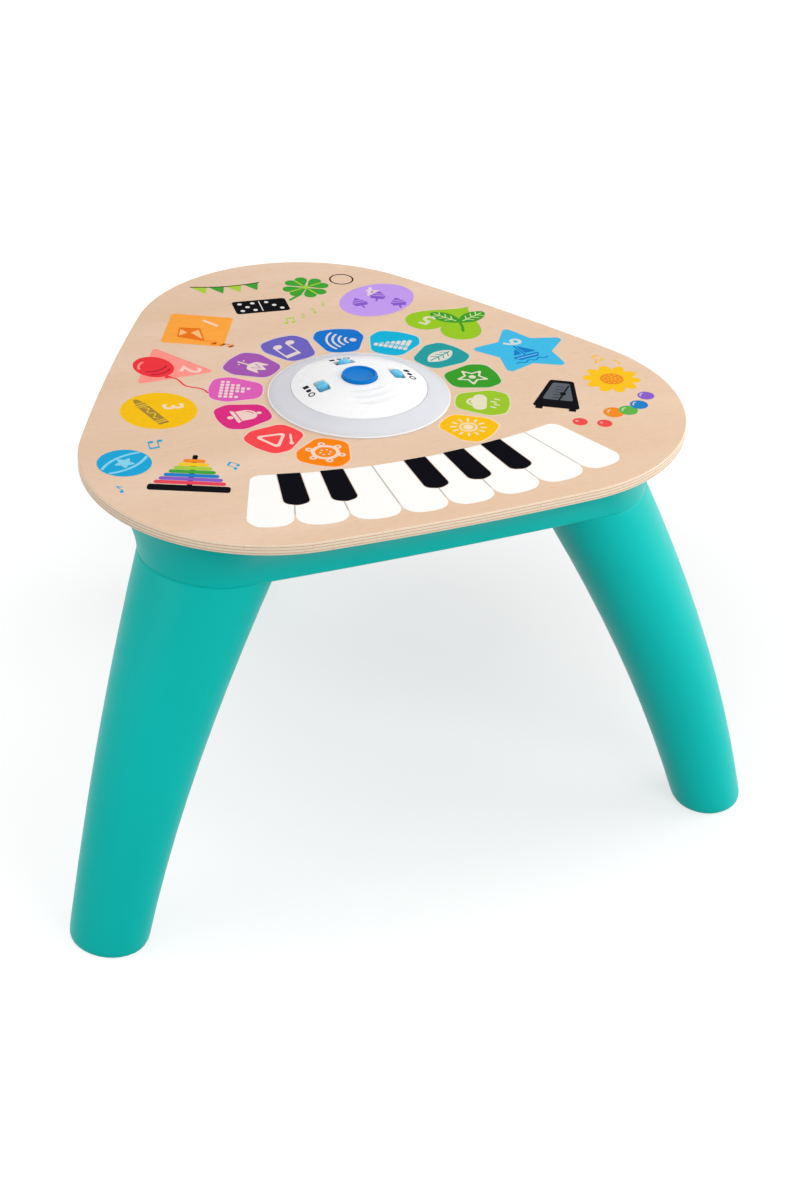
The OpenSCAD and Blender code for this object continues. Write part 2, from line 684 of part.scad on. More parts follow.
module speaker_screws() placed() color([0.7, 0.7, 0.72]) translate([0, speaker_y, 0])
    for (a = clamp_angles) at(clamp_screw_dist, a, tray_z + floor_t + speaker_flange_t + 1.6)
        mirror([0, 0, 1]) screw(2.4, 1.6, 1.1, 3.4);

// ---- Power ----

cell_z = tray_z + door_t + 0.8 + cell_r;
function cell_x(i) = (i - (cell_count - 1) / 2) * cell_pitch;
module battery_cells() placed() for (i = [0 : cell_count - 1])
    translate([cell_x(i), bay_y, cell_z]) rotate([i % 2 == 0 ? 90 : -90, 0, 0]) {
        color([0.2, 0.2, 0.22]) translate([0, 0, -cell_l / 2]) cylinder(r = cell_r, h = cell_l - 1.5);
        color([0.8, 0.8, 0.8]) translate([0, 0, cell_l / 2 - 1.5]) cylinder(r = 2.7, h = 1.5);
    }

module battery_contacts() placed() color([0.8, 0.8, 0.8]) for (i = [0 : cell_count - 1], s = [-1, 1])
    translate([cell_x(i), bay_y + s * bay_l / 2, cell_z]) {
        plus = (i % 2 == 0) == (s < 0);
        rotate([s > 0 ? 90 : -90, 0, 0]) {
            slab(10, 10, 0, 0.5);
            if (plus) disc(2.5, 0.4, (bay_l - cell_l) / 2);
            else translate([0, 0, 0.4]) cylinder(r1 = 5, r2 = 2.6, h = (bay_l - cell_l) / 2 - 0.4);
        }
    }

// Door with a round nose along its hinged edge, two tabs behind it and a lobe for its screw
module battery_door() placed() color([0.11, 0.71, 0.67]) difference() {
    flat_from = door_axis_y + 0.2;
    flat_to = bay_y + door_l / 2;
    union() {
        translate([0, (flat_from + flat_to) / 2, tray_z]) slab(door_w, flat_to - flat_from, 0, door_t);
        translate([-door_w / 2, door_axis_y, tray_z + nose_r]) rotate([0, 90, 0])
            cylinder(r = nose_r, h = door_w);
        translate([0, door_screw_y, tray_z]) cylinder(r = door_lobe_r, h = door_t);
        for (s = [-1, 1]) translate([s * tab_x, door_axis_y - (nose_r + clear + tab_l) / 2, tray_z + tab_z])
            slab(tab_w, nose_r + clear + tab_l, 0, tab_t);
    }
    translate([0, door_screw_y, tray_z - 1]) cylinder(r = 1.5, h = door_t + 2);
    translate([0, door_screw_y, tray_z - 1]) cylinder(r = 3.2, h = 2.2);
}

module door_screw() placed() color([0.7, 0.7, 0.72]) translate([0, door_screw_y, tray_z + 1.2])
    screw(2.9, 1.2, 1.25, 7.6);

lead_r = 0.8;
lead_end_z = board_z - 5.2;
module battery_leads() placed() color([0.8, 0.1, 0.1]) for (s = [-1, 1])
    let (x = s * 4, y = bay_y - bay_l / 2, z = tray_z + bay_depth)
    lead([[x, y - 2.6, z - 2], [x, y - 8, z - 1], [x, y - 14, z + 8], [x / 2, -24, hub_floor_z - 5],
        [x / 2, -29.5, hub_floor_z + 3], [x / 2, -29.5, lead_end_z]], lead_r);

module speaker_leads() placed() color([0.15, 0.15, 0.15]) for (s = [-1, 1])
    let (x = s * 3, y = speaker_y + 16, z = tray_z + floor_t)
    lead([[x, y, z + 12.1], [x, y, z + 14], [x, -34, hub_floor_z - 6],
        [x * 1.2, -31.4, hub_floor_z + 3], [x * 1.2, -31.4, lead_end_z]], lead_r);

top_panel();
touch_film();
touch_pads();
film_tail();
tray();
leg_front_left();
leg_front_right();
leg_back();
leg_screws();
top_screws();
light_ring();
dome_cover();
hub_base();
hub_screws();
main_button();
button_spring();
button_switch();
left_slider();
right_slider();
back_slider();
slide_switches();
main_board();
board_chips();
ring_lights();
board_screws();
speaker();
speaker_clamp();
speaker_screws();
battery_cells();
battery_contacts();
battery_door();
door_screw();
battery_leads();
speaker_leads();
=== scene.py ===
"""Looks of the musical activity table: plywood, prints, mouldings, lights and camera."""

import itertools
import json
from math import asin, atan2, cos, degrees, hypot, pi, radians, sin, sqrt, tan

import bmesh
import bpy
from mathutils import Matrix, Vector


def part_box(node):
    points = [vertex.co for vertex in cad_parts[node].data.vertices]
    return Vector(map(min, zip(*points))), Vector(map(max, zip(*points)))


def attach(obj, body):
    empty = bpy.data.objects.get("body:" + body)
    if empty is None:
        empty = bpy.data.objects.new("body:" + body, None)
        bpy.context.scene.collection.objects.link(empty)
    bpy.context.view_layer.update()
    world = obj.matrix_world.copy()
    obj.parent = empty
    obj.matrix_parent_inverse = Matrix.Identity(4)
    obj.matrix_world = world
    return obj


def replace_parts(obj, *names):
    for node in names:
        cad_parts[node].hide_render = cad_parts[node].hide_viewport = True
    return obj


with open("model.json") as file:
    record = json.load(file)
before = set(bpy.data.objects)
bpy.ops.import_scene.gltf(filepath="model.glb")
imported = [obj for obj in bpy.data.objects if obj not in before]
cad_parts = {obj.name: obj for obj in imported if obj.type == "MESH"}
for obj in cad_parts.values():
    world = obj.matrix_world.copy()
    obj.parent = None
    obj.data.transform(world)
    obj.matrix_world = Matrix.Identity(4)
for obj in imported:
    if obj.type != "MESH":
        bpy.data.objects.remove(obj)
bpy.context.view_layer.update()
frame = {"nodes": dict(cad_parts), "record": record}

MM = 0.001
NODES = frame["nodes"]

# ---- Places, in millimetres about the dome's axis, with z = 0 on the plywood's top face ----

TOP_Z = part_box("top_panel")[1].z / MM
RING_LOW, RING_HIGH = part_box("light_ring")
AXIS_Y = (RING_LOW.y + RING_HIGH.y) / 2 / MM
PLY_T = TOP_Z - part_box("top_panel")[0].z / MM

TOP_CORNER_DIST = 116.8
TOP_CORNER_R = 141.9
TOP_SIDE_TURN = radians(3)
HUB_HOLE_R = 65.0
PLY_ROUND = 1.2
PLY_INSET = 0.07

DOME_R = 54.0
DOME_EDGE_Z = 8.0
DOME_RISE = 9.5
DOME_SPHERE_R = (DOME_R ** 2 + DOME_RISE ** 2) / (2 * DOME_RISE)

# Thickness of a level of ink, and how it grows from print to print
INK = 0.05
INK_STEP = 0.0015
INK_CYCLE = 16
DIGIT_WEIGHT = 0.018

DOME_WALL = 2.2
RING_R = (RING_HIGH.x - RING_LOW.x) / 2 / MM
BUTTON_R = 14.0
BUTTON_TOP_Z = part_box("main_button")[1].z / MM - TOP_Z
BUTTON_BASE_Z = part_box("main_button")[0].z / MM - TOP_Z
STEM_R = 3.0
FLANGE_W, FLANGE_T, FLANGE_GAP = 2.4, 1.2, 0.5
RIM_ROUND = 1.1
LIP_INSET, LIP_ROUND = 1.6, 0.7
DISH_INSET, DISH_EDGE_DEPTH, DISH_DEPTH = 2.6, 1.3, 0.7
# The ring's lip
CREST_INSET, CREST_ROUND, CREST_Z = 0.6, 0.53, 1.2
FOOT_INSET, FOOT_LOW, FOOT_HIGH = 1.5, 0.4, 0.9
KNOB_DIST = 32.0
KNOB_ANGLES = (180, 0, 90)
KNOB_BODIES = ("left_knob", "right_knob", "back_knob")
KNOB_MARK_DIST = 43.0
# A knob: its cut gem's half sizes and (share, height) levels, its stem and the plate under it
GEM_SIDES = 10
GEM_HALF = (4.7, 5.3)
GEM_CUT = ((0.98, -0.1), (1.0, 0.5), (0.8, 1.7), (0.56, 2.3))
KNOB_STEM = (7.6, 8.6)
KNOB_STEM_Z = (-4.4, 0.2)
SHUTTER = (11.6, 23.0)
SHUTTER_Z = (-DOME_WALL - 1.6, -DOME_WALL - 1.0)
# Sound waves: (radius, half angle) of each, and a section's half width, height and share at a tip
WAVES = ((24, 42), (31, 35), (38, 28))
WAVE_HALF_W = 1.5
WAVE_H = 0.75
WAVE_TIP = 0.02

PAD_DIST = 98.0
PAD_FIRST = 12.95
PAD_STEP = 25.9

KEY_CENTRE_Y = 340.0
KEY_BACK_R = 450.5
KEY_FRONT_R = 524.0
KEY_BULGE = 4.5
KEY_BACK_STEP = radians(4.1)
KEY_FRONT_STEP = radians(4.27)
KEY_COUNT = 8
KEY_GAP = 1.0
KEY_END_ROUND, KEY_CORNER_ROUND, KEY_FRONT_ROUND = 9, 13, 40
KEY_LINE_SHARE = 0.82
KEY_LINE_W = 1.3
# How far each boundary between keys stands off an even fan, at the back and front
KEY_BACK_SHIFT = [0.5, 1.3, -3.5, -2.4, -0.5, 0.8, -0.6, 1.2, -1.0]
KEY_FRONT_SHIFT = [-1.5, -4.0, -0.6, 0.7, -1.3, -2.1, -0.9, 1.2, -0.4]
BLACK_KEY_GAPS = (1, 2, 4, 5, 6)
BLACK_KEY_STEP = radians(4.2)
BLACK_KEY_L = 48.5
BLACK_KEY_W = (17.8, 19.8)
BLACK_KEY_TIP = 4
BLACK_KEY_ROUNDS = [0.4, 6.5, 8, 6.5, 0.4]
BLACK_KEY_RIM = 0.7


def placed(x, y, z):
    """Row-frame point, in metres, of one given about the dome's axis."""
    return Vector((x * MM, (y + AXIS_Y) * MM, (z + TOP_Z) * MM))


def dome_z(r):
    """Height of the dome's surface at a distance from the axis."""
    return DOME_EDGE_Z + DOME_RISE - DOME_SPHERE_R + sqrt(DOME_SPHERE_R ** 2 - r ** 2)


def srgb(code):
    """Linear colour of a six-digit hex code."""
    def linear(v):
        return v / 12.92 if v <= 0.04045 else ((v + 0.055) / 1.055) ** 2.4
    return tuple(linear(int(code[i:i + 2], 16) / 255) for i in (0, 2, 4)) + (1.0,)


def scaled(color, factor):
    return tuple(min(1.0, c * factor) for c in color[:3]) + (1.0,)


def tint(code, share):
    """Colour of an ink that lies a share of the way to the paper's."""
    return tuple(p + (q - p) * share for p, q in zip(srgb(code), PAPER))


# ---- Materials ----

class Shader:
    """A material with a node tree on one Principled shader."""

    def __init__(self, name, roughness=0.5, **sockets):
        self.mat = bpy.data.materials.new(name)
        self.mat.use_nodes = True
        self.tree = self.mat.node_tree
        self.shader = self.tree.nodes["Principled BSDF"]
        self.shader.inputs["Roughness"].default_value = roughness
        for key, value in sockets.items():
            self.shader.inputs[key.replace("_", " ")].default_value = value

    def add(self, kind, **settings):
        """Adds a node with its sockets' values and its properties set."""
        node = self.tree.nodes.new(kind)
        for key, value in settings.items():
            if key in node.inputs:
                node.inputs[key].default_value = value
            else:
                setattr(node, key, value)
        return node

    def link(self, out, socket):
        self.tree.links.new(out, socket)

    def coords(self, scale=(1, 1, 1)):
        """Object coordinates, which are the row frame in metres, scaled along each axis."""
        source = self.add("ShaderNodeTexCoord")
        mapping = self.add("ShaderNodeMapping", Scale=scale)
        self.link(source.outputs["Object"], mapping.inputs["Vector"])
        return mapping.outputs["Vector"]

    def noise(self, scale, stretch=(1, 1, 1), detail=3.0, rough=0.5):
        node = self.add("ShaderNodeTexNoise", Scale=scale, Detail=detail, Roughness=rough)
        self.link(self.coords(stretch), node.inputs["Vector"])
        return node.outputs["Fac"]

    def ramp(self, value, stops):
        node = self.add("ShaderNodeValToRGB")
        ramp = node.color_ramp
        while len(ramp.elements) < len(stops):
            ramp.elements.new(0.5)
        for element, (place, color) in zip(ramp.elements, stops):
            element.position = place
            element.color = color
        self.link(value, node.inputs["Fac"])
        return node.outputs["Color"]

    def mix(self, value, a, b):
        """Mixes two colours, each a socket or a value, by a socket or a number."""
        node = self.add("ShaderNodeMix", data_type="RGBA")
        for socket, source in ((node.inputs[0], value), (node.inputs[6], a), (node.inputs[7], b)):
            if isinstance(source, bpy.types.NodeSocket):
                self.link(source, socket)
            else:
                socket.default_value = source
        return node.outputs[2]

    def remap(self, value, low=0.3, high=0.7, to_low=0.0, to_high=1.0):
        node = self.add("ShaderNodeMapRange")
        for key, number in zip(("From Min", "From Max", "To Min", "To Max"), (low, high, to_low, to_high)):
            node.inputs[key].default_value = number
        self.link(value, node.inputs["Value"])
        return node.outputs["Result"]

    def base(self, color):
        self.link(color, self.shader.inputs["Base Color"])

    def rough(self, value):
        self.link(value, self.shader.inputs["Roughness"])

    def bump(self, height, distance, strength=1.0):
        node = self.add("ShaderNodeBump", Distance=distance, Strength=strength)
        self.link(height, node.inputs["Height"])
        self.link(node.outputs["Normal"], self.shader.inputs["Normal"])


def moulded(name, code, roughness=0.35, spread=0.04, grain=0.00002, specular=0.25, **sockets):
    """Moulded plastic: faint mottling of colour and gloss, and a fine moulded grain."""
    m = Shader(name, roughness, Specular_IOR_Level=specular, **sockets)
    color = srgb(code)
    cloud = m.noise(9.0, detail=2.0)
    m.base(m.mix(m.remap(cloud), scaled(color, 1 - spread), scaled(color, 1 + spread)))
    m.rough(m.remap(m.noise(60.0), 0.3, 0.7, roughness - 0.04, roughness + 0.05))
    m.bump(m.noise(2600.0, detail=1.0), grain, 0.5)
    return m.mat


def flecks(m):
    """Short fine flecks of the veneer along X, which also show through the inks."""
    return m.noise(420.0, (0.2, 1.0, 1.0), 2.0, 0.6)


def plywood_face():
    """Clear-lacquered beech veneer: even colour, soft long grain along X, short fine flecks."""
    m = Shader("plywood_face", 0.42, Specular_IOR_Level=0.25, Coat_Weight=0.08, Coat_Roughness=0.3)
    soft = m.noise(11.0, (0.25, 1.6, 1.0), 5.0, 0.55)
    color = m.ramp(soft, [(0.3, srgb("E0BB9A")), (0.52, srgb("E4C2A4")), (0.75, srgb("E9CBB0"))])
    fleck = flecks(m)
    color = m.mix(m.remap(fleck, 0.58, 0.74, 0.0, 0.34), color, srgb("D0A684"))
    fine = m.noise(1000.0, (0.12, 1.0, 1.0), 2.0, 0.6)
    color = m.mix(m.remap(fine, 0.4, 0.7, 0.0, 0.16), color, srgb("F5E1CD"))
    m.base(color)
    m.rough(m.remap(fleck, 0.3, 0.8, 0.38, 0.5))
    m.bump(fleck, 0.00005, 0.3)
    return m.mat


def plywood_edge():
    """Sanded edge of the veneers: pale layers with three thin darker ones, end-grain pores."""
    m = Shader("plywood_edge", 0.5, Specular_IOR_Level=0.2, Coat_Weight=0.05, Coat_Roughness=0.4)
    split = m.add("ShaderNodeSeparateXYZ")
    m.link(m.coords(), split.inputs["Vector"])
    depth = m.add("ShaderNodeMath", operation="MULTIPLY_ADD")
    m.link(m.noise(45.0, (1, 1, 0.2), 2.0), depth.inputs[0])
    depth.inputs[1].default_value = 0.0003
    m.link(split.outputs["Z"], depth.inputs[2])
    share = m.remap(depth.outputs[0], (TOP_Z - PLY_T) * MM, TOP_Z * MM + 0.0002)
    pale, warm, deep = srgb("FFF1DC"), srgb("FFE3C6"), srgb("E8B288")
    stops = [(0.0, warm)]
    for middle in (0.24, 0.5, 0.76):
        stops += [(middle - 0.06, pale), (middle - 0.02, deep), (middle + 0.02, deep), (middle + 0.06, pale)]
    stops.append((1.0, warm))
    pores = m.noise(700.0, (1, 1, 0.25), 2.0)
    m.base(m.mix(m.remap(pores, 0.55, 0.75, 0.0, 0.3), m.ramp(share, stops), srgb("D8AE88")))
    m.bump(pores, 0.00005, 0.4)
    return m.mat


def ink(name, code, roughness=0.5, grain_share=1.0, specular=0.03):
    """Screen-printed ink: even colour, a little mottled where the wood's grain comes through."""
    m = Shader(name, roughness, Specular_IOR_Level=specular)
    color = code if isinstance(code, tuple) else srgb(code)
    grain = flecks(m)
    m.base(m.mix(m.remap(grain, 0.45, 0.75, 0.0, grain_share), color, scaled(color, 0.93)))
    m.bump(grain, 0.00003 * grain_share + 0.000002, 0.2)
    return m.mat


def milky_ring():
    """Milky translucent ring: light goes a little way in and comes out softly."""
    m = Shader("milky_ring", 0.36, Subsurface_Weight=0.3, Subsurface_Scale=0.01, Specular_IOR_Level=0.35)
    m.shader.inputs["Subsurface Radius"].default_value = (1.0, 1.0, 1.0)
    cloud = m.noise(14.0, detail=3.0)
    m.base(m.mix(m.remap(cloud), srgb("D6D8DF"), srgb("E0E1E7")))
    m.bump(m.noise(1500.0, detail=2.0), 0.00003, 0.4)
    return m.mat


def clear_tint(name, code):
    """Tinted clear plastic with soft lighter clouds."""
    m = Shader(name, 0.15, Transmission_Weight=0.2, IOR=1.45)
    color = srgb(code)
    cloud = m.noise(160.0, detail=1.0)
    m.base(m.mix(m.remap(cloud), color, scaled(color, 1.15)))
    return m.mat


def metal(name, code, roughness=0.3):
    m = Shader(name, roughness, Metallic=1.0)
    color = srgb(code)
    brushed = m.noise(500.0, (1, 1, 0.1), 2.0)
    m.base(m.mix(m.remap(brushed), scaled(color, 0.9), color))
    m.rough(m.remap(brushed, 0.3, 0.7, roughness - 0.08, roughness + 0.1))
    return m.mat


PLY_FACE = plywood_face()
PLY_EDGE = plywood_edge()
WHITE = moulded("white_plastic", "F7F7F8", 0.25, 0.008, 0.000006, 0.3, Coat_Weight=0.15)
BLUE = moulded("blue_plastic", "0079CE", 0.3, 0.04, 0.000008, 0.07)
# Painted shade: the sound waves are a slightly darker white than the dome, so their ridges read as shaded.
WAVE_PAINTED_SHADE_WHITE = moulded("wave_white_painted_shade", "EDEEF1", 0.3, 0.008, 0.000006, 0.3)
GEM = clear_tint("clear_blue", "62C8F2")

SLOT_MATERIALS = {
    "plywood": PLY_FACE,
    "teal_plastic": moulded("teal_plastic", "00C9C1", 0.36, 0.02, specular=0.14),
    "white_plastic": WHITE,
    "light_ring": milky_ring(),
    "blue_plastic": BLUE,
    "clear_blue": GEM,
    "inner_plastic": moulded("inner_plastic", "C9C9C9", 0.5),
    "black_plastic": moulded("black_plastic", "1B1B1D", 0.45),
    "board": moulded("board_mask", "1B6A3C", 0.3),
    "film": moulded("amber_film", "C98B35", 0.25),
    "copper": metal("copper", "C98258"),
    "steel": metal("steel", "C2C4C8"),
    "lead_red": moulded("red_lead", "B3241F", 0.5),
    "lead_black": moulded("black_lead", "222222", 0.5),
    "led": moulded("led_lens", "F2EFDC", 0.3),
}


WELD_DIST = 0.00002
NODE_EDGE_ANGLE = radians(28)
EDGE_ANGLE = radians(40)


def dress_nodes():
    """Gives every carried-over CAD node its material and smooth shading with true edges."""
    slots = {part["node"]: part["material_slot"] for part in frame["record"]["subparts"]}
    for name, obj in NODES.items():
        obj.data.materials.clear()
        obj.data.materials.append(SLOT_MATERIALS[slots[name]])
        obj.data.polygons.foreach_set("use_smooth", [True] * len(obj.data.polygons))
        obj.modifiers.new("weld", "WELD").merge_threshold = WELD_DIST
        obj.modifiers.new("edges", "EDGE_SPLIT").split_angle = NODE_EDGE_ANGLE


# ---- Outlines, as lists of (x, y) points ----

def arc(cx, cy, r, start, end, steps=16):
    """Points along a circle's arc, from one angle to another, in degrees."""
    angles = [radians(start + (end - start) * i / steps) for i in range(steps + 1)]
    return [(cx + r * cos(a), cy + r * sin(a)) for a in angles]


def circle(cx, cy, r, steps=48):
    return arc(cx, cy, r, 0, 360 * (1 - 1 / steps), steps - 1)


def turned(points, angle=0.0, dx=0.0, dy=0.0, scale=1.0):
    """Points turned by degrees, scaled and moved."""
    c, s = cos(radians(angle)) * scale, sin(radians(angle)) * scale
    return [(x * c - y * s + dx, x * s + y * c + dy) for x, y in points]


def ellipse(cx, cy, a, b, tilt=0, steps=48):
    return turned([(a * x, b * y) for x, y in circle(0, 0, 1, steps)], tilt, cx, cy)


def bar(cx, cy, w, h):
    """A rectangle about a middle."""
    x, y = w / 2, h / 2
    return [(cx - x, cy - y), (cx + x, cy - y), (cx + x, cy + y), (cx - x, cy + y)]


def rounded(points, radius, steps=8):
    """A polygon with its corners rounded, each by radius or by its own entry in a list."""
    out = []
    n = len(points)
    radii = radius if isinstance(radius, (list, tuple)) else [radius] * n
    for i in range(n):
        p = Vector(points[i])
        a = (Vector(points[i - 1]) - p).normalized()
        b = (Vector(points[(i + 1) % n]) - p).normalized()
        half = a.angle(b) / 2
        if radii[i] < 0.01 or half > radians(89.5):
            out.append(tuple(p))
            continue
        reach = radii[i] / tan(half)
        centre = p + (a + b).normalized() * (radii[i] / sin(half))
        start, end = p + a * reach - centre, p + b * reach - centre
        sweep = -start.angle_signed(end)
        for k in range(steps + 1):
            c, s = cos(sweep * k / steps), sin(sweep * k / steps)
            out.append((centre.x + start.x * c - start.y * s, centre.y + start.x * s + start.y * c))
    return out


def stroke(points, width):
    """A line drawn with a round pen."""
    half = width / 2
    left, right = [], []
    for i, point in enumerate(points):
        way = (Vector(points[min(i + 1, len(points) - 1)]) - Vector(points[max(i - 1, 0)])).normalized()
        side = Vector((-way.y, way.x)) * half
        left.append(tuple(Vector(point) + side))
        right.append(tuple(Vector(point) - side))

    def cap(at, towards):
        angle = degrees(atan2(towards[1] - at[1], towards[0] - at[0]))
        return arc(at[0], at[1], half, angle, angle - 180, 8)[1:-1]
    return left + cap(points[-1], left[-1]) + right[::-1] + cap(points[0], right[0])


def star(r_out, r_in, count=5, tip=90):
    radii = [r_out, r_in] * count
    angles = [radians(tip + 180 / count * i) for i in range(2 * count)]
    return [(r * cos(a), r * sin(a)) for r, a in zip(radii, angles)]


def heart(size, steps=72):
    points = []
    for i in range(steps):
        t = 2 * pi * i / steps
        y = 13 * cos(t) - 5 * cos(2 * t) - 2 * cos(3 * t) - cos(4 * t)
        points.append((sin(t) ** 3 * size, y * size / 16))
    return points


def wave(length, height, turns, steps=40):
    """A wavy line along x."""
    shares = [i / steps for i in range(steps + 1)]
    return [(length * t, height * sin(2 * pi * turns * t)) for t in shares]


def top_outline(inset=0.0, corner_steps=56, side_steps=24):
    """The table top's outline: three corner arcs joined by bowed sides."""
    points = []
    turn = TOP_SIDE_TURN
    reach = TOP_CORNER_DIST * sin(radians(60)) + TOP_CORNER_R * sin(turn)
    side_r = reach / sin(turn)
    level = TOP_CORNER_DIST * cos(radians(60)) + TOP_CORNER_R * cos(turn)
    for k in range(3):
        corner = radians(90 + 120 * k)
        cx, cy = TOP_CORNER_DIST * cos(corner), TOP_CORNER_DIST * sin(corner)
        for i in range(corner_steps + 1):
            f = (radians(60) - turn) * (2 * i / corner_steps - 1) + corner
            r = TOP_CORNER_R - inset
            points.append((cx + r * cos(f), cy + r * sin(f)))
        for i in range(1, side_steps):
            g = turn * (2 * i / side_steps - 1)
            out = level + side_r * (cos(g) - cos(turn)) - inset * cos(g)
            points += turned([(out, (side_r - inset) * sin(g))], degrees(corner) + 60)
    return points


# ---- Pieces ----

def linked(name, data):
    obj = bpy.data.objects.new(name, data)
    bpy.context.scene.collection.objects.link(obj)
    return obj


def mesh_from(name, points, faces):
    mesh = bpy.data.meshes.new(name)
    mesh.from_pydata(points, [], faces)
    return mesh


def ring_faces(count, n):
    """Faces between rings of n points, the last ring joined to the first."""
    faces = []
    for k in range(count):
        here, beyond = k * n, (k + 1) % count * n
        faces += [(here + j, beyond + j, beyond + (j + 1) % n, here + (j + 1) % n) for j in range(n)]
    return faces


def finished(name, mesh, material, body="table", smooth=True):
    """Adds a mesh as a piece that rides on a body."""
    obj = linked(name, mesh)
    mesh.materials.append(material)
    mesh.polygons.foreach_set("use_smooth", [smooth] * len(mesh.polygons))
    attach(obj, body)
    return obj


def mesh_of(curve, name):
    """Mesh of a filled curve or text, which is then removed."""
    holder = linked(name + "_outline", curve)
    bpy.context.view_layer.update()
    mesh = bpy.data.meshes.new_from_object(holder.evaluated_get(bpy.context.evaluated_depsgraph_get()))
    bpy.data.objects.remove(holder)
    mesh.name = name
    mesh.materials.clear()
    return mesh


INK_COUNT = itertools.count()


def ink_thickness():
    """Each print is a hair thicker than the one before, so that no two faces lie in one plane."""
    return INK + INK_STEP * (next(INK_COUNT) % INK_CYCLE)


def plate(name, loops, level, material, lift=None):
    """A print: the area inside the loops, inner loops cutting holes, on a level of inks."""
    thickness = ink_thickness()
    curve = bpy.data.curves.new(name, "CURVE")
    curve.dimensions = "2D"
    curve.fill_mode = "BOTH"
    curve.extrude = thickness / 2 * MM
    for loop in loops:
        spline = curve.splines.new("POLY")
        spline.points.add(len(loop) - 1)
        for point, (x, y) in zip(spline.points, loop):
            point.co = (x * MM, y * MM, 0, 1)
        spline.use_cyclic_u = True
    mesh = mesh_of(curve, name)
    mesh.transform(Matrix.Translation(placed(0, 0, level * INK + thickness / 2)))
    if lift:
        for vertex in mesh.vertices:
            x, y = vertex.co.x / MM, vertex.co.y / MM - AXIS_Y
            vertex.co.z += lift(hypot(x, y)) * MM
    return finished(name, mesh, material, smooth=False)


def digit(name, text, x, y, size, tilt, level, material):
    """A plain number as a print."""
    thickness = ink_thickness()
    curve = bpy.data.curves.new(name, "FONT")
    curve.body = text
    curve.size = size * MM
    curve.offset = size * DIGIT_WEIGHT * MM
    curve.extrude = thickness / 2 * MM
    curve.align_x = "CENTER"
    curve.align_y = "CENTER"
    mesh = mesh_of(curve, name)
    turn = Matrix.Rotation(radians(tilt), 4, "Z")
    mesh.transform(Matrix.Translation(placed(x, y, level * INK + thickness / 2)) @ turn)
    finished(name, mesh, material, smooth=False)


def joined(name, pieces):
    """Joins prints of one ink into one piece."""
    bm = bmesh.new()
    for piece in pieces:
        bm.from_mesh(piece.data)
    bm.to_mesh(pieces[0].data)
    bm.free()
    for piece in pieces[1:]:
        bpy.data.objects.remove(piece)
    pieces[0].name = name


def print_motif(name, motif, inks, level, x, y, tilt=0.0, scale=1.0):
    """Prints a motif, each tone as one piece in its own ink, a level apart."""
    drawn = {}
    for tone, loops in motif:
        placed_loops = [turned(loop, tilt, x, y, scale) for loop in loops]
        drawn.setdefault(tone, []).append(plate("print", placed_loops, level + tone, inks[tone]))
    for tone, pieces in sorted(drawn.items()):
        joined(f"{name}_{tone}", pieces)


# ---- Plywood top ----

EDGE_NORMAL_Z = 0.75


def plywood_top():
    """The panel as one closed mesh, with a hole under the dome and a rounded edge."""
    quarter = [radians(15 * i) for i in range(7)]
    upper = [(PLY_ROUND * (1 - sin(q)), PLY_ROUND * (cos(q) - 1)) for q in quarter]
    lower = [(inset, -PLY_T - z) for inset, z in reversed(upper)]
    base = top_outline()
    hole = [(HUB_HOLE_R * x / hypot(x, y), HUB_HOLE_R * y / hypot(x, y)) for x, y in base]
    loops = [[placed(x, y, 0) for x, y in hole]]
    loops += [[placed(x, y, z) for x, y in top_outline(inset + PLY_INSET)] for inset, z in upper + lower]
    loops += [[placed(x, y, -PLY_T) for x, y in hole]]
    mesh = mesh_from("plywood_top", [v for loop in loops for v in loop], ring_faces(len(loops), len(base)))
    mesh.update()
    obj = finished("plywood_top", mesh, PLY_FACE)
    mesh.materials.append(PLY_EDGE)
    for poly in mesh.polygons:
        if abs(poly.normal.z) < EDGE_NORMAL_Z:
            poly.material_index = 1
    obj.modifiers.new("edges", "EDGE_SPLIT").split_angle = EDGE_ANGLE
    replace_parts(obj, "top_panel")


# ---- Dome ----

def turned_piece(name, profile, material, body, steps=160):
    """A piece turned about the dome's axis from a closed profile of (r, z)."""
    verts = []
    for k in range(steps):
        a = 2 * pi * k / steps
        verts += [placed(r * cos(a), r * sin(a), z) for r, z in profile]
    mesh = mesh_from(name, verts, ring_faces(steps, len(profile)))
    bm = bmesh.new()
    bm.from_mesh(mesh)
    bmesh.ops.remove_doubles(bm, verts=bm.verts, dist=1e-7)
    bmesh.ops.recalc_face_normals(bm, faces=bm.faces)
    bm.to_mesh(mesh)
    bm.free()
    obj = finished(name, mesh, material, body)
    obj.modifiers.new("edges", "EDGE_SPLIT").split_angle = EDGE_ANGLE
    return obj


def push_button():
    """The button with its rolled rim and dished middle."""
    top, r = BUTTON_TOP_Z, BUTTON_R
    flange_r = r + FLANGE_W
    flange = dome_z(flange_r) - DOME_WALL - FLANGE_GAP
    under = flange - FLANGE_T
    rim = arc(r - RIM_ROUND, top - RIM_ROUND, RIM_ROUND, 0, 90, 8)
    lip = arc(r - LIP_INSET, top - LIP_ROUND, LIP_ROUND, 90, 170, 6)
    dish = [((r - DISH_INSET) * share, top - DISH_EDGE_DEPTH - DISH_DEPTH * (1 - share ** 2))
            for share in (1 - i / 12 for i in range(13))]
    stem = [(0, BUTTON_BASE_Z), (STEM_R, BUTTON_BASE_Z), (STEM_R, under)]
    profile = stem + [(flange_r, under), (flange_r, flange), (r, flange)] + rim + lip + dish
    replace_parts(turned_piece("push_button", profile, BLUE, "button"), "main_button")


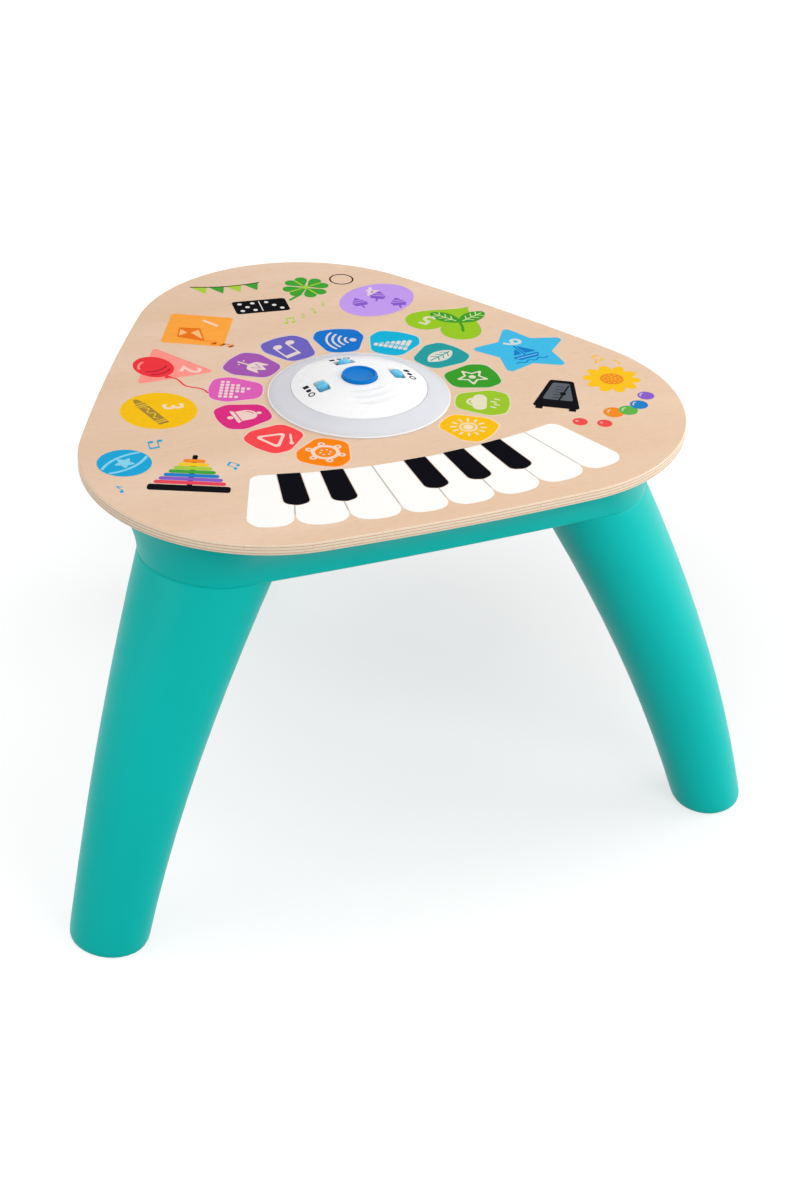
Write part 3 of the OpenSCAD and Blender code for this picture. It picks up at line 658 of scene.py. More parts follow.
def ring_lip():
    """Fine raised lip of the ring, which catches the light, in white brighter than the ring as a painted
    highlight.
    """
    crest = arc(RING_R - CREST_INSET, CREST_Z, CREST_ROUND, 180, 0, 10)
    inner, outer = RING_R - FOOT_INSET, RING_R - CREST_INSET + CREST_ROUND
    profile = [(inner, FOOT_HIGH)] + crest + [(outer, FOOT_LOW), (inner, FOOT_LOW)]
    turned_piece("ring_lip", profile, WHITE, "table")


def loft(rings):
    """Vertices and faces of a closed solid through rings of equally many points."""
    n = len(rings[0])
    faces = [tuple(range(n))[::-1], tuple(range(n * (len(rings) - 1), n * len(rings)))]
    for k in range(len(rings) - 1):
        here, beyond = k * n, (k + 1) * n
        faces += [(here + i, here + (i + 1) % n, beyond + (i + 1) % n, beyond + i) for i in range(n)]
    return [point for ring in rings for point in ring], faces


def slide_knobs():
    """Cut-gem knobs, each with the plate under the dome that closes its slot as it slides."""
    lean = asin(KNOB_DIST / DOME_SPHERE_R)
    rim = turned(circle(0, 0, 1, GEM_SIDES), 180 / GEM_SIDES)
    cap = [[(GEM_HALF[0] * share * x, GEM_HALF[1] * share * y, z) for x, y in rim] for share, z in GEM_CUT]
    stem = [[(x, y, z) for x, y in rounded(bar(0, 0, *KNOB_STEM), 1, 3)] for z in KNOB_STEM_Z]
    shutter = [[(x, y, z) for x, y in rounded(bar(0, 0, *SHUTTER), 2, 5)] for z in SHUTTER_Z]
    for body, angle in zip(KNOB_BODIES, KNOB_ANGLES):
        on_dome = Matrix.Translation((KNOB_DIST, 0, dome_z(KNOB_DIST))) @ Matrix.Rotation(lean, 4, "Y")
        slot_place = Matrix.Rotation(radians(angle), 4, "Z") @ on_dome
        for name, solids, material, slot in ((body + "_gem", (cap, stem), GEM, "clear_blue"),
                                             (body + "_shutter", (shutter,), WHITE, "white_plastic")):
            verts, faces = [], []
            for solid in solids:
                points, sides = loft(solid)
                faces += [tuple(i + len(verts) for i in side) for side in sides]
                verts += [placed(*(slot_place @ Vector(point))) for point in points]
            mesh = mesh_from(name, verts, faces)
            piece = finished(name, mesh, material, body, smooth=False)
            if material is GEM:
                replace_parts(piece, body.replace("knob", "slider"))


def sound_waves():
    """Raised crescents on the dome's front, highest in their middles, in a slightly darker white as painted
    shade.
    """
    steps, sides = 40, 8
    for k, (r, half) in enumerate(WAVES):
        rings = []
        for i in range(steps + 1):
            a = radians(-90 + half * (2 * i / steps - 1))
            swell = sqrt(max(WAVE_TIP, sin(pi * i / steps)))
            section = [(r + WAVE_HALF_W * swell * x, WAVE_H * swell * y) for x, y in circle(0, 0, 1, sides)]
            rings.append([placed(q * cos(a), q * sin(a), dome_z(q) + z) for q, z in section])
        mesh = mesh_from(f"sound_wave_{k}", *loft(rings))
        finished(mesh.name, mesh, WAVE_PAINTED_SHADE_WHITE)


# ---- Motifs: lists of (tone, loops), drawn about the middle ----

def flat(tone, *loops):
    """Groups of one tone, each with a single loop."""
    return [(tone, [loop]) for loop in loops]


def at_angle(r, angle):
    """Point at a distance and an angle from the middle."""
    return turned([(r, 0)], angle)[0]


def leaf(middle, r, half):
    side = arc(-middle, 0, r, -half, half, 16)
    return side + [(-x, -y) for x, y in side]


def note_motif(pair=True):
    """A quaver, or two joined by a beam."""
    motif = flat(0, ellipse(-5.5, -8, 3.9, 3.0, 20), bar(-2.4, 1, 1.4, 18))
    if pair:
        beam = [(-3.1, 10.5), (10.3, 12.6), (10.3, 8.6), (-3.1, 6.5)]
        return motif + flat(0, ellipse(6.5, -6, 3.9, 3.0, 20), bar(9.6, 3, 1.4, 18), beam)
    return motif + flat(0, [(-3.1, 10), (-1.7, 10), (4.0, 4), (3.6, -0.5), (2.4, 3.6), (-1.7, 5.5)])


def tulip_motif():
    cup = rounded([(-8, 11), (-4, 5.5), (0, 12), (4, 5.5), (8, 11), (7, -1), (0, -4), (-7, -1)],
                  [0.8, 0.6, 0.8, 0.6, 0.8, 4, 5, 4], 5)
    leaves = [rounded([(0, -12), (s * 9, -2), (s * 4, -10)], 0.8, 3) for s in (-1, 1)]
    fold = stroke([(-3.2, 1), (0, 7), (3.2, 1)], 0.9)
    return flat(0, cup, bar(0, -8, 1.5, 9), *leaves) + flat(1, fold)


def level_motif():
    """Columns of small blocks, like a level meter."""
    blocks = []
    for column, count in enumerate((2, 4, 6, 5, 3, 4)):
        x = -11 + 4.4 * column
        blocks += [rounded(bar(x, -10 + 3.8 * k, 3.4, 2.6), 0.7, 3) for k in range(count)]
    return flat(0, *blocks)


def bell_motif():
    outline = [(-10, -7), (-7, -3.5)] + arc(0, 3, 7, 180, 0, 16) + [(7, -3.5), (10, -7)]
    lines = [stroke([(-6.5, -3.8), (6.5, -3.8)], 0.9), stroke(arc(0, 3, 4.6, 165, 95, 8), 0.9)]
    knobs = [circle(0, -9.6, 2.2, 20), circle(0, 11.8, 1.8, 20)]
    return flat(0, rounded(outline, 0.8, 3), *knobs) + flat(1, *lines)


def triangle_motif():
    steel = [rounded([(-12, -9), (12, -9), (0, 11)], 2.5, 5),
             rounded([(-8, -6.7), (8, -6.7), (0, 6.8)], 1.4, 4)]
    return [(0, steel)] + flat(0, stroke([(4, 11), (12.5, 3)], 1.6), circle(13, 2.6, 1.7, 16))


def jingle_motif():
    """A ring with jingles round it."""
    motif = [(0, [circle(0, 0, 10), circle(0, 0, 7.2)])]
    for angle in range(0, 360, 60):
        x, y = at_angle(11.6, angle)
        motif += [(0, [circle(x, y, 2.6, 20), circle(x, y, 1.1, 12)])]
        motif += flat(0, circle(*at_angle(3.6, angle + 30), 0.9, 12))
    return motif


def pulse_motif():
    """Arcs that spread from a dot."""
    arcs = [stroke(arc(-10, 0, r, -42, 42, 14), 1.7) for r in (6, 10.5, 15, 19.5)]
    return flat(0, *arcs, circle(-10, 0, 2.6, 24))


def pipes_motif():
    """Panpipes tied with two cords."""
    heights = [17 - 1.9 * i for i in range(7)]
    pipes = [rounded(bar(-11 + 3.7 * i, 8 - h / 2, 3.0, h), 1.2, 4) for i, h in enumerate(heights)]
    cords = [stroke([(-12.5, y), (12.5, y)], 0.9) for y in (3.2, 1.2)]
    return flat(0, *pipes) + flat(1, *cords)


def leaf_motif():
    veins = [stroke([(0, -3 + 5 * k), (s * 4.2, 0.5 + 5 * k)], 0.8) for k in range(-1, 2) for s in (-1, 1)]
    return flat(0, leaf(8.5, 15.5, 55)) + flat(1, stroke([(0, -10), (0, 10)], 1.0), *veins)


def star_motif():
    rim = [rounded(star(13, 6.2), 1.0, 4), rounded(star(9.2, 4.4), 0.7, 4)]
    return [(0, rim)] + flat(0, circle(0, 0, 2.6, 24))


def cloud_motif():
    puffs = [circle(-6.5, 2, 5, 32), circle(0, 5.5, 6.2, 32), circle(7, 2.4, 4.6, 32),
             rounded(bar(0.2, 0, 17, 5.6), 2.6, 5)]
    starts = [(-6 + 4 * i, -6 - (i % 2) * 2.5) for i in range(4)]
    drops = [stroke([(x, y), (x - 1.2, y - 3)], 1.5) for x, y in starts]
    return flat(0, *puffs, *drops) + flat(1, stroke(arc(0, 5.5, 3.8, 150, 60, 8), 0.9))


def sun_motif():
    rays = [turned(rounded(bar(10.6, 0, 4.6, 1.7), 0.8, 3), a) for a in range(0, 360, 30)]
    return [(0, [circle(0, 0, 6.6, 40), circle(0, 0, 5.0, 40)])] + flat(0, circle(0, 0, 3.6, 32), *rays)


def kite_motif():
    body = rounded([(-13, 4), (0, -18), (13, 4), (0, 17)], 1.2, 4)
    panes = [rounded([(-10.4, 4.6), (-1, 4.6), (-1, 14)], 0.6, 3),
             rounded([(1, 2.6), (10, 2.6), (1, -14)], 0.6, 3)]
    tail = turned(wave(24, 2.2, 1.5), -62, 0, -18)
    bows = [rounded([(x - 3, y - 2.2), (x + 3, y + 2.2), (x + 3, y - 2.2), (x - 3, y + 2.2)], 0.3, 2)
            for x, y in (tail[14], tail[27], tail[40])]
    return flat(0, body) + flat(1, *panes) + flat(0, stroke(tail, 1.0), *bows)


def balloon_motif():
    knot = rounded([(-3.4, -22.5), (3.4, -22.5), (0, -17)], 0.6, 3)
    string = stroke(turned(wave(42, 2.0, 1.5), -74, 0, -21), 1.5)
    shine = stroke(arc(0, 0, 12, 165, 105, 10), 2.2)
    bands = [stroke(arc(0, 2, 15.5, 235, 305, 12), 1.6), stroke(arc(0, 8, 15.5, 232, 308, 12), 1.6)]
    return flat(0, ellipse(0, 0, 15.5, 19), knot, string) + flat(1, shine) + flat(2, *bands)


def crayon_motif():
    tip = rounded([(-3.8, 17.2), (3.8, 17.2), (1.4, 24), (-1.4, 24)], 0.8, 3)
    bands = [bar(0, y, 9, 1.4) for y in (13.2, 10.4, -15.5, -18.3)]
    squiggle = stroke(turned(wave(20, 2, 2), 90, 0, -12), 1.2)
    return flat(0, rounded(bar(0, -3, 9, 38), 1.2, 4), tip) + flat(1, *bands, squiggle)


def trio_motif():
    """Three small spinning tops."""
    cone, disc = rounded([(-8, 3), (8, 3), (0, -10)], 1.6, 4), rounded(bar(0, 4.5, 12, 3.2), 1.4, 4)
    lines = [stroke([(-5, 0), (5, 0)], 1.1), stroke([(-3, -3.4), (3, -3.4)], 1.0)]
    top = flat(0, cone, disc, bar(0, 8, 1.8, 6)) + flat(1, *lines)
    return [(tone, [turned(loop, tilt, x, y) for loop in loops])
            for x, y, tilt in ((-17, 1, 12), (0, -11, -8), (16, 3, 24)) for tone, loops in top]


def sprout_motif():
    marks = [stroke([(0, -11), (0, 11)], 1.2)]
    marks += [stroke([(0, -7 + 6 * k), (s * 4.8, -3 + 6 * k)], 1.0) for k in range(3) for s in (-1, 1)]
    motif = flat(0, stroke([(0, -17), (0.8, -8), (0, 0)], 2.4))
    for lean in (-52, 48):
        middle = turned([(0, 15)], lean)[0]
        motif += flat(0, turned(leaf(11, 19, 48), lean, *middle))
        motif += flat(1, *[turned(mark, lean, *middle) for mark in marks])
    return motif


def boat_motif():
    hull = rounded([(-13, -3), (13, -3), (8, -9.5), (-8, -9.5)], 1.4, 4)
    sails = [rounded([(1.6, -0.5), (12, -0.5), (1.6, 13.5)], 0.8, 3),
             rounded([(-1.6, -0.5), (-9, -0.5), (-1.6, 10)], 0.8, 3)]
    sea = turned(stroke(wave(28, 1.1, 3), 1.3), 0, -14, -13)
    return flat(0, hull, bar(0, 5, 1.5, 18), *sails, sea) + flat(1, stroke([(-9, -6), (9, -6)], 1.0))


def ball_motif():
    bands = [stroke(arc(0, -34, 44, 62, 118, 20), 2.6), stroke(arc(0, 34, 44, 242, 298, 20), 2.6)]
    return flat(0, circle(0, 0, 23, 96)) + flat(1, rounded(star(10, 5), 1.0, 4), *bands)


def clover_motif():
    turns = (45, 135, 225, 315)
    leaves = [turned(heart(10.5), a - 90, *at_angle(11.5, a)) for a in turns]
    veins = [turned(stroke([(5, 0), (15, 0)], 1.6), a) for a in turns]
    stem = stroke([(0, 0), (3, 16), (9, 27)], 2.6)
    return flat(0, *leaves, stem) + flat(1, circle(0, 0, 3.2, 24), *veins)


def bunting_motif(line):
    """Pennants that hang from a line of 24 steps."""
    flags = []
    for k in range(4):
        x, y = line[3 + 6 * k]
        flags += flat(k % 2, rounded([(x - 6.5, y + 1), (x + 6.5, y - 0.5), (x + 1, y - 14)], 0.8, 3))
    return flags


def domino_motif():
    spots = [(-17, 6.5), (-17, -6.5), (-6, 6.5), (-6, -6.5), (-11.5, 0), (6, 6.5), (17, -6.5), (11.5, 0)]
    marks = [stroke([(0, -9), (0, 9)], 0.9)] + [circle(x, y, 1.9, 20) for x, y in spots]
    return flat(0, rounded(bar(0, 0, 46, 24), 3)) + flat(1, *marks)


def daisy_motif():
    petals = [turned(ellipse(15.5, 0, 8, 5.2), a) for a in range(0, 360, 36)]
    rings = ((0, 1), (3.4, 6), (6.8, 10))
    dots = [circle(*at_angle(r, 360 / n * i), 0.9, 12) for r, n in rings for i in range(n)]
    middle = flat(1, circle(0, 0, 9.5, 48)) + flat(0, circle(0, 0, 12, 48))
    return flat(0, *petals) + middle + flat(2, *dots)


def berries_motif():
    shines = [circle(1.8, 2, 1.4, 12), circle(-7.2, -15, 1.4, 12)]
    return flat(0, circle(0, 0, 6, 32), circle(-9, -17, 6, 32)) + flat(1, *shines)


def bead_motif(r):
    return flat(0, circle(0, 0, r, 40)) + flat(1, stroke(arc(0, 0, 4.6, 100, 170, 8), 1.3))


def metronome_motif():
    case = rounded([(-20, -23), (20, -23), (10, 27), (-10, 27)], 3)
    panel = rounded([(-13, -9), (13, -9), (7, 22), (-7, 22)], 2)
    pendulum = [stroke([(0, -15), (6.5, 18)], 1.5), circle(3.4, 3, 2.6, 24)]
    marks = [bar(0, -5 + 5 * k, 10 - 0.8 * k, 0.8) for k in range(5)]
    feet = [bar(x, -25, 6, 4) for x in (-14, 14)]
    return flat(0, case, *feet) + flat(1, panel) + flat(2, *pendulum, *marks)


# ---- Prints ----

# The colour that pale tints lean to, and how far they do
PAPER = srgb("F6E6D6")
PAD_RIM_TINT = 0.72
PAD_ICON_TINT = 0.82
NUMBER_TINT = 0.7
NUMBER_SIZE = 23
PAD_RIM_GROW = 1.0
PAD_GROW = -0.1
PAD_MOTIF_SCALE = 1.12
PAD_COLORS = ["6E62BE", "A457B0", "E060B8", "DC2A80", "F8484E", "FC8504",
              "0A72CC", "08B2D8", "1F9C9E", "349A24", "9CC628", "FAC00C"]
PAD_MOTIFS = [note_motif, tulip_motif, level_motif, bell_motif, triangle_motif, jingle_motif,
              pulse_motif, pipes_motif, leaf_motif, star_motif, cloud_motif, sun_motif]
PAD_CORNERS = [(-20.5, -12.5), (6, -21.5), (19, -17), (22, 0), (19, 17), (6, 21.5), (-20.5, 12.5), (-22, 0)]
PAD_ROUNDS = [9.5, 11, 9, 40, 9, 11, 9.5, 40]


def pad_angle(i):
    """Angle of a pad: six to the left of the back corner, then six to the right."""
    return 90 + (PAD_FIRST + PAD_STEP * i if i < 6 else -PAD_FIRST - PAD_STEP * (i - 6))


def pad_outline(grow):
    """A pad's outline, wide on its outer side."""
    return rounded([(x * (1 + grow / 20), y * (1 + grow / 20)) for x, y in PAD_CORNERS], PAD_ROUNDS)


def print_pads():
    for i, (code, motif) in enumerate(zip(PAD_COLORS, PAD_MOTIFS)):
        angle = pad_angle(i)
        x, y = at_angle(PAD_DIST, angle)
        color = ink(f"ink_pad_{i:02d}", code)
        rim = ink(f"ink_rim_{i:02d}", tint(code, PAD_RIM_TINT))
        line = ink(f"ink_icon_{i:02d}", tint(code, PAD_ICON_TINT))
        plate(f"pad_rim_{i:02d}", [turned(pad_outline(PAD_RIM_GROW), angle, x, y)], 0, rim)
        plate(f"pad_{i:02d}", [turned(pad_outline(PAD_GROW), angle, x, y)], 1, color)
        print_motif(f"pad_icon_{i:02d}", motif(), [line, color], 2, x, y, angle + 90, PAD_MOTIF_SCALE)


def up_to_middle(x, y):
    """Turn that points a print's top at the dome."""
    return degrees(atan2(-y, -x)) - 90


# Each outer shape: name, ink, motif's inks, place, turn, outline, number's offset, motif, its offset,
# turn and scale
OUTER_SHAPES = [
    ("square", "FFA63F", ("EE7410", "FBBF7C", "C85A08"), (-81.5, 153), -29, rounded(bar(0, 0, 52, 54), 3),
     (14, 9), kite_motif, (-7, -6), 20, 0.95),
    ("triangle", "FF968C", ("F0333C", "FF8C84", "B81E3C"), (-126, 96), 0,
     rounded([(-33, -19), (33, -19), (0, 38)], 3), (15, -9), balloon_motif, (-11, 5), 14, 1.0),
    ("round", "F9C10C", ("A8862E", "E9BE3C", "7A6228"), (-157, 28.8), 0, circle(0, 0, 30, 96),
     (12, 3), crayon_motif, (-7, 0), 12, 1.0),
    ("oval", "C59CF0", ("8A58CC", "C9A6F2", "6E42B0"), (81, 157), 25, ellipse(0, 0, 36, 27.5, 0, 96),
     (3, 17), trio_motif, (0, -3), 158, 1.0),
    ("heart", "97C81F", ("3C9A24", "CDE29A", "2A7A1C"), (121, 98), 127, heart(34),
     (-15, 9), sprout_motif, (9, -4), -15, 1.0),
    ("star", "3FBBE6", ("0F7CC8", "7CCBEE", "0B5CA4"), (157.2, 28.8), -4.3,
     rounded(star(44, 24), [4, 2.5] * 5), (-1, 16), boat_motif, (-2, -5), 8, 1.05),
]


def print_shapes():
    for number, shape in enumerate(OUTER_SHAPES, 1):
        name, code, tones, (x, y), tilt, loop, (nx, ny), motif, (mx, my), lean, scale = shape
        plate(f"shape_{name}", [turned(loop, tilt, x, y)], 0, ink(f"ink_{name}", code))
        inks = [ink(f"ink_{name}_tone_{i}", tone) for i, tone in enumerate(tones)]
        print_motif(f"motif_{name}", motif(), inks, 1, x + mx, y + my, lean, scale)
        light = ink(f"ink_number_{name}", tint(code, NUMBER_TINT))
        digit(f"number_{name}", str(number), x + nx, y + ny, NUMBER_SIZE, up_to_middle(x, y), 1, light)


def key_point(r, angle):
    """Point on the keyboard's fan, at an angle to the right of straight ahead."""
    return r * sin(angle), KEY_CENTRE_Y - r * cos(angle)


def key_boundary(i, shift=0.0):
    """Back and front point and front angle of the boundary before key i, moved by shift."""
    k = i - KEY_COUNT / 2
    back = KEY_BACK_STEP * k + (KEY_BACK_SHIFT[i] + shift) / KEY_BACK_R
    front = KEY_FRONT_STEP * k + (KEY_FRONT_SHIFT[i] + shift) / KEY_FRONT_R
    return key_point(KEY_BACK_R, back), key_point(KEY_FRONT_R, front), front


def print_white_keys():
    white = ink("ink_key_white", "FFFEFB", 0.45, 0.1)
    line = ink("ink_key_line", "C9BEB2", 0.5)
    whites, lines = [], []
    for i in range(KEY_COUNT):
        back_left, front_left, angle_left = key_boundary(i, KEY_GAP / 2)
        back_right, front_right, angle_right = key_boundary(i + 1, -KEY_GAP / 2)
        tip = key_point(KEY_FRONT_R + KEY_BULGE, (angle_left + angle_right) / 2)
        first, last = [KEY_END_ROUND if i == end else 0 for end in (0, KEY_COUNT - 1)]
        radii = [first, KEY_CORNER_ROUND, KEY_FRONT_ROUND, KEY_CORNER_ROUND, last]
        corners = [back_left, front_left, tip, front_right, back_right]
        whites.append(plate("white_key", [rounded(corners, radii, 10)], 0, white))
        if i:
            start, end, _ = key_boundary(i)
            middle = tuple(p + (q - p) * KEY_LINE_SHARE for p, q in zip(start, end))
            lines.append(plate("line", [stroke([start, middle], KEY_LINE_W)], 0, line))
    joined("white_keys", whites)
    joined("key_lines", lines)


def print_black_keys():
    black = ink("ink_key_black", "131219", 0.5, 0.1, 0.0)
    outline = ink("ink_key_outline", "E9D6C4", 0.5)
    blacks, rims = [], []
    half_back, half_front = BLACK_KEY_W[0] / 2, BLACK_KEY_W[1] / 2
    for gap in BLACK_KEY_GAPS:
        angle = BLACK_KEY_STEP * (gap - KEY_COUNT / 2)
        x, y = key_point(KEY_BACK_R - 1, angle)
        for grow, level, material, plates in ((BLACK_KEY_RIM, 1, outline, rims), (0, 2, black, blacks)):
            b, f = half_back + grow, half_front + grow
            side_y, tip_y = -BLACK_KEY_L + BLACK_KEY_TIP, -BLACK_KEY_L - grow
            loop = [(-b, grow), (-f, side_y), (0, tip_y), (f, side_y), (b, grow)]
            loop = turned(rounded(loop, BLACK_KEY_ROUNDS), degrees(angle), x, y)
            plates.append(plate("black_key", [loop], level, material))
    joined("black_key_rims", rims)
    joined("black_keys", blacks)


# ---- Generic designs in the corners ----

STACK_COLORS = ["E8455C", "8A5CC8", "1E7FC8", "3FA535", "A6CE39", "F9C81E", "F58A1F"]
BEAD_COLORS = ["F58A1F", "5DB447", "1E7FC8", "8A5CC8"]
# Each design's place and turn, with its scale where that isn't 1
STACK_AT = (-174, -92, -25)
BALL_AT = (-208, -42, 25, 0.9)
CLOVER_AT = (33, 200, 150)
DOMINO_AT = (-16, 178, -8)
DAISY_AT = (203, -42, 10)
BERRIES_AT = (146, -99, 90)
METRONOME_AT = (150, -53, -32, 0.95)
BEADS_AT = (178, -94)
BEAD_PITCH = 12.5
# Notes: place, turn, scale, and whether two are joined
BLUE_NOTES = [(-176, -22, 170, 0.6, True), (-222, -78, 20, 0.5, False), (-133, -74, 40, 0.45, True)]
LIME_NOTES = [(-4, 144, -10, 0.5, True), (12, 149, 0, 0.4, False), (24, 156, 15, 0.45, False),
              (36, 165, 0, 0.35, False)]
YELLOW_NOTES = [(207, -6, 8, 0.5, True), (222, -15, 30, 0.42, False)]


def print_notes(name, material, notes):
    for k, (x, y, tilt, scale, pair) in enumerate(notes):
        print_motif(f"note_{name}_{k}", note_motif(pair), [material], 0, x, y, tilt, scale)


def print_front_left(black, blue, light_blue):
    """A stacking toy, a ball and blue notes."""
    x, y, tilt = STACK_AT
    plate("stack_base", [turned(rounded(bar(0, -3, 62, 9), 2.5), tilt, x, y)], 0, black)
    plate("stack_post", [turned(rounded(bar(0, 24, 4, 48), 1.5), tilt, x, y)], 0, black)
    for k, code in enumerate(STACK_COLORS):
        ring = rounded(bar(0, 5.2 + 5.6 * k, 54 - 6.2 * k, 5.0), 2.3, 5)
        plate(f"stack_ring_{k}", [turned(ring, tilt, x, y)], 1, ink(f"ink_stack_{k}", code))
    print_motif("ball", ball_motif(), [blue, light_blue], 0, *BALL_AT)
    print_notes("blue", blue, BLUE_NOTES)


def print_back(black, green, lime, pale):
    """A domino, a bunting, a four-leaved clover, a hoop and lime notes."""
    print_motif("clover", clover_motif(), [green, lime], 0, *CLOVER_AT)
    plate("hoop", [circle(68, 205, r, 64) for r in (10.5, 9.2)], 0, black)
    line = arc(-10, 344, 122, 246, 274, 24)
    print_motif("bunting", bunting_motif(line), [lime, green], 0, 0, 0)
    plate("bunting_line", [stroke(line, 1.2)], 2, black)
    print_motif("domino", domino_motif(), [black, pale], 0, *DOMINO_AT)
    print_notes("lime", lime, LIME_NOTES)


def print_beads():
    for k, code in enumerate(BEAD_COLORS):
        inks = [ink(f"ink_bead_{k}", code), ink(f"ink_bead_light_{k}", tint(code, 0.6))]
        x, y = BEADS_AT[0] + BEAD_PITCH * k, BEADS_AT[1] - 4 * k + 3.2 * k * k
        print_motif(f"bead_{k}", bead_motif(8.2 - 0.5 * k), inks, 1, x, y)


def print_front_right(black, yellow, orange, red, grey):
    """A metronome, a daisy, berries, beads and yellow notes."""
    print_motif("daisy", daisy_motif(), [yellow, orange, yellow], 0, *DAISY_AT)
    print_motif("berries", berries_motif(), [red, ink("ink_berry_light", "F7A39C")], 0, *BERRIES_AT)
    print_beads()
    print_motif("metronome", metronome_motif(), [black, grey, black], 0, *METRONOME_AT)
    print_notes("yellow", yellow, YELLOW_NOTES)


def print_corners():
    black = ink("ink_motif_black", "17171B", specular=0.0)
    print_front_left(black, ink("ink_motif_blue", "1AA6D8"), ink("ink_motif_light_blue", "8AD4EE"))
    print_back(black, ink("ink_motif_green", "3BA02F"), ink("ink_motif_lime", "A8D03A"),
               ink("ink_motif_pale", "E8E4DC"))
    print_front_right(black, ink("ink_motif_yellow", "FBC31C"), ink("ink_motif_orange", "F08A24"),
                      ink("ink_motif_red", "EE4B4B"), ink("ink_motif_grey", "5A6067"))


# Loops of the square, dot and ring beyond a knob
KNOB_MARKS = ([rounded(bar(0, -6.2, 4.4, 4.4), 0.5, 3)], [circle(0, 0, 2.1, 20)],
              [circle(0, 6.4, 2.8, 24), circle(0, 6.4, 1.7, 20)])


def print_knob_marks():
    """A square, dot and ring beyond each slide knob, printed on the dome."""
    mark = ink("ink_mark", "2C2C32", 0.5, 0.1, 0.0)
    for k, angle in enumerate(KNOB_ANGLES):
        x, y = at_angle(KNOB_MARK_DIST, angle)
        flip = 1 if k == 0 else -1
        plates = []
        for mark_loops in KNOB_MARKS:
            loops = [turned([(u, v * flip) for u, v in loop], angle, x, y) for loop in mark_loops]
            plates.append(plate("mark", loops, 0, mark, dome_z))
        joined(f"knob_marks_{k}", plates)


# ---- Floor, light and camera ----

CAMERA_AZ = radians(-24.369)
CAMERA_EL = radians(31.976)
CAMERA_ROLL = radians(2.195)
CAMERA_DIST = 2070.35
CAMERA_TARGET = (9.19, -73.09, -150.0)
FOCAL_PX = 2583.74
PHOTO_H = 1200
SENSOR = 36.0

FLOOR_HALF = 12.0
FLOOR_COLOR = (0.34, 0.34, 0.345, 1.0)
# Strength of the floor's glow at distances, in metres, from the middle of a painted shadow under the table:
# dimmer near it, full white far off
FLOOR_GLOW_WITH_PAINTED_SHADOW = ((0.05, 0.51), (0.42, 0.72), (1.6, 1.0))
PAINTED_FLOOR_SHADOW_AT = (0.17, 0.11, 0.0)
WORLD_LEVEL = 0.47
# Each soft lamp: place and aim in metres, size in metres, power in watts
LAMPS = {
    "right": ((2.2, -0.3, 1.2), (0, 0, 0.2), (1.8, 1.6), 24.5),
    "left": ((-2.3, 0.0, 1.4), (0, 0, 0.2), (1.8, 1.4), 13.0),
    "front": ((0.5, -1.9, 1.15), (0, 0, 0.35), (1.4, 0.9), 15.0),
    "top": ((0.2, 0.5, 2.6), (0, 0, 0.35), (2.0, 2.0), 12.5),
}


def add_camera():
    level = cos(CAMERA_EL)
    back = Vector((sin(CAMERA_AZ) * level, -cos(CAMERA_AZ) * level, sin(CAMERA_EL)))
    right = (-back).cross(Vector((0, 0, 1))).normalized()
    up = right.cross(-back)
    c, s = cos(CAMERA_ROLL), sin(CAMERA_ROLL)
    right, up = c * right + s * up, c * up - s * right
    data = bpy.data.cameras.new("camera")
    data.sensor_width = SENSOR
    data.lens = FOCAL_PX * SENSOR / PHOTO_H
    data.clip_start = 0.05
    obj = linked("camera", data)
    rotation = Matrix((right, up, back)).transposed().to_4x4()
    obj.matrix_world = Matrix.Translation(placed(*CAMERA_TARGET) + back * CAMERA_DIST * MM) @ rotation
    bpy.context.scene.camera = obj


def seen_directly(tree):
    """Socket that is 1 on camera, glossy and transmission rays, and 0 on the rest."""
    path = tree.nodes.new("ShaderNodeLightPath")
    total = path.outputs["Is Camera Ray"]
    for ray in ("Is Glossy Ray", "Is Transmission Ray"):
        either = tree.nodes.new("ShaderNodeMath")
        either.operation = "MAXIMUM"
        tree.links.new(total, either.inputs[0])
        tree.links.new(path.outputs[ray], either.inputs[1])
        total = either.outputs[0]
    return total


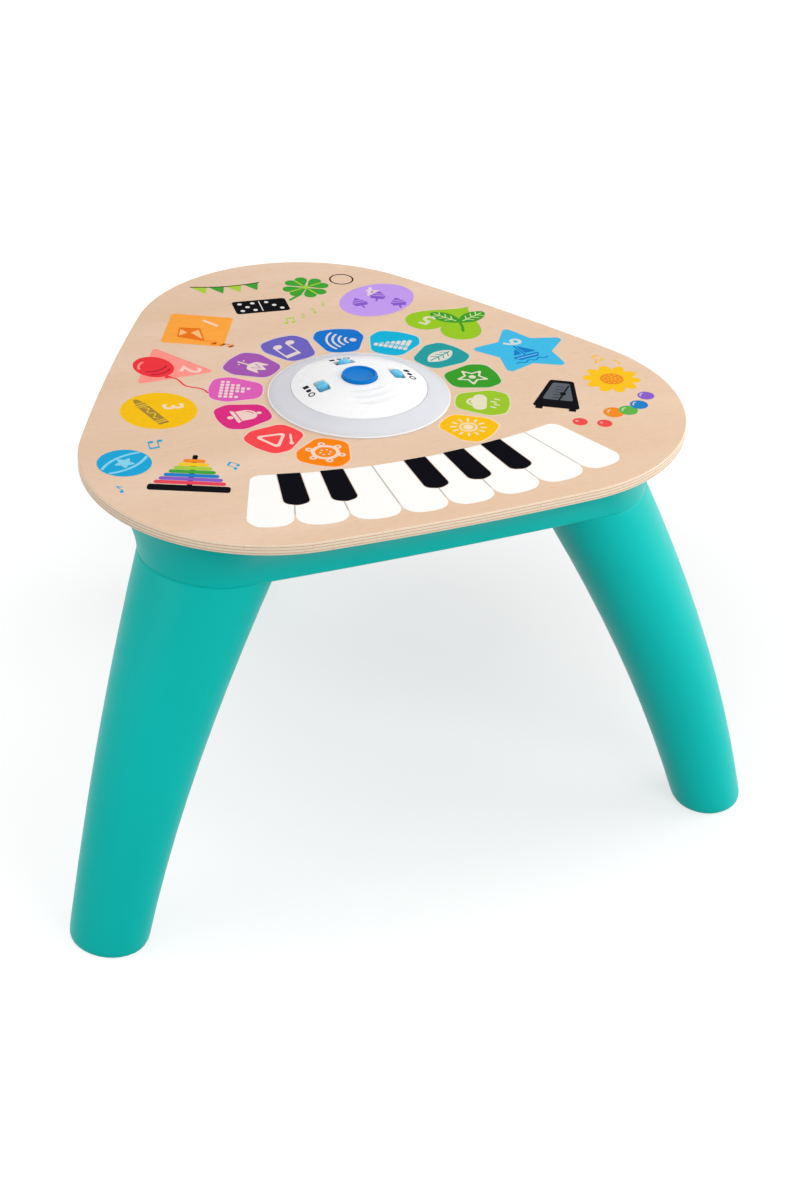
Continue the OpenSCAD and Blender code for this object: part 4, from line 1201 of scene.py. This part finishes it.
def add_floor():
    """A pale floor that shows white, keeps the object's shadow, has a painted shadow darkening it under the
    table, and is clear from below.
    """
    s = FLOOR_HALF
    mesh = mesh_from("floor", [(-s, -s, 0), (s, -s, 0), (s, s, 0), (-s, s, 0)], [(0, 1, 2, 3)])
    floor = linked("floor", mesh)
    m = Shader("floor_white_painted_shadow", 0.9, Base_Color=FLOOR_COLOR, Specular_IOR_Level=0.05)
    glow = m.add("ShaderNodeEmission")
    far = m.add("ShaderNodeVectorMath", operation="DISTANCE")
    m.link(m.coords(), far.inputs[0])
    far.inputs[1].default_value = PAINTED_FLOOR_SHADOW_AT
    # Painted shadow: the glow is dimmer near a point under the table and rises to full white farther out.
    end = FLOOR_GLOW_WITH_PAINTED_SHADOW[-1][0]
    stops = [(distance / end, (level, level, level, 1.0)) for distance, level in FLOOR_GLOW_WITH_PAINTED_SHADOW]
    m.link(m.ramp(m.remap(far.outputs["Value"], 0.0, end), stops), glow.inputs["Color"])
    m.link(seen_directly(m.tree), glow.inputs["Strength"])
    both = m.add("ShaderNodeAddShader")
    m.link(m.shader.outputs[0], both.inputs[0])
    m.link(glow.outputs[0], both.inputs[1])
    sided = m.add("ShaderNodeMixShader")
    m.link(m.add("ShaderNodeNewGeometry").outputs["Backfacing"], sided.inputs[0])
    m.link(both.outputs[0], sided.inputs[1])
    m.link(m.add("ShaderNodeBsdfTransparent").outputs[0], sided.inputs[2])
    m.link(sided.outputs[0], m.tree.nodes["Material Output"].inputs["Surface"])
    mesh.materials.append(m.mat)


def add_lamps():
    for name, (place, aim, size, power) in LAMPS.items():
        data = bpy.data.lights.new(name, "AREA")
        data.shape = "RECTANGLE"
        data.size, data.size_y = size
        data.energy = power
        obj = linked(name, data)
        way = (Vector(aim) - Vector(place)).to_track_quat("-Z", "Y").to_matrix().to_4x4()
        obj.matrix_world = Matrix.Translation(Vector(place)) @ way


def add_world():
    """White all round, at full strength only where it is seen."""
    world = bpy.data.worlds.new("studio")
    bpy.context.scene.world = world
    world.use_nodes = True
    tree = world.node_tree
    background = tree.nodes["Background"]
    background.inputs["Color"].default_value = (1, 1, 1, 1)
    level = tree.nodes.new("ShaderNodeMapRange")
    level.inputs["To Min"].default_value = WORLD_LEVEL
    level.inputs["To Max"].default_value = 1.0
    tree.links.new(seen_directly(tree), level.inputs["Value"])
    tree.links.new(level.outputs["Result"], background.inputs["Strength"])


add_camera()
add_floor()
add_lamps()
add_world()
bpy.context.scene.view_settings.view_transform = "Standard"
dress_nodes()
plywood_top()
print_pads()
print_shapes()
print_white_keys()
print_black_keys()
print_corners()
print_knob_marks()
push_button()
ring_lip()
slide_knobs()
sound_waves()
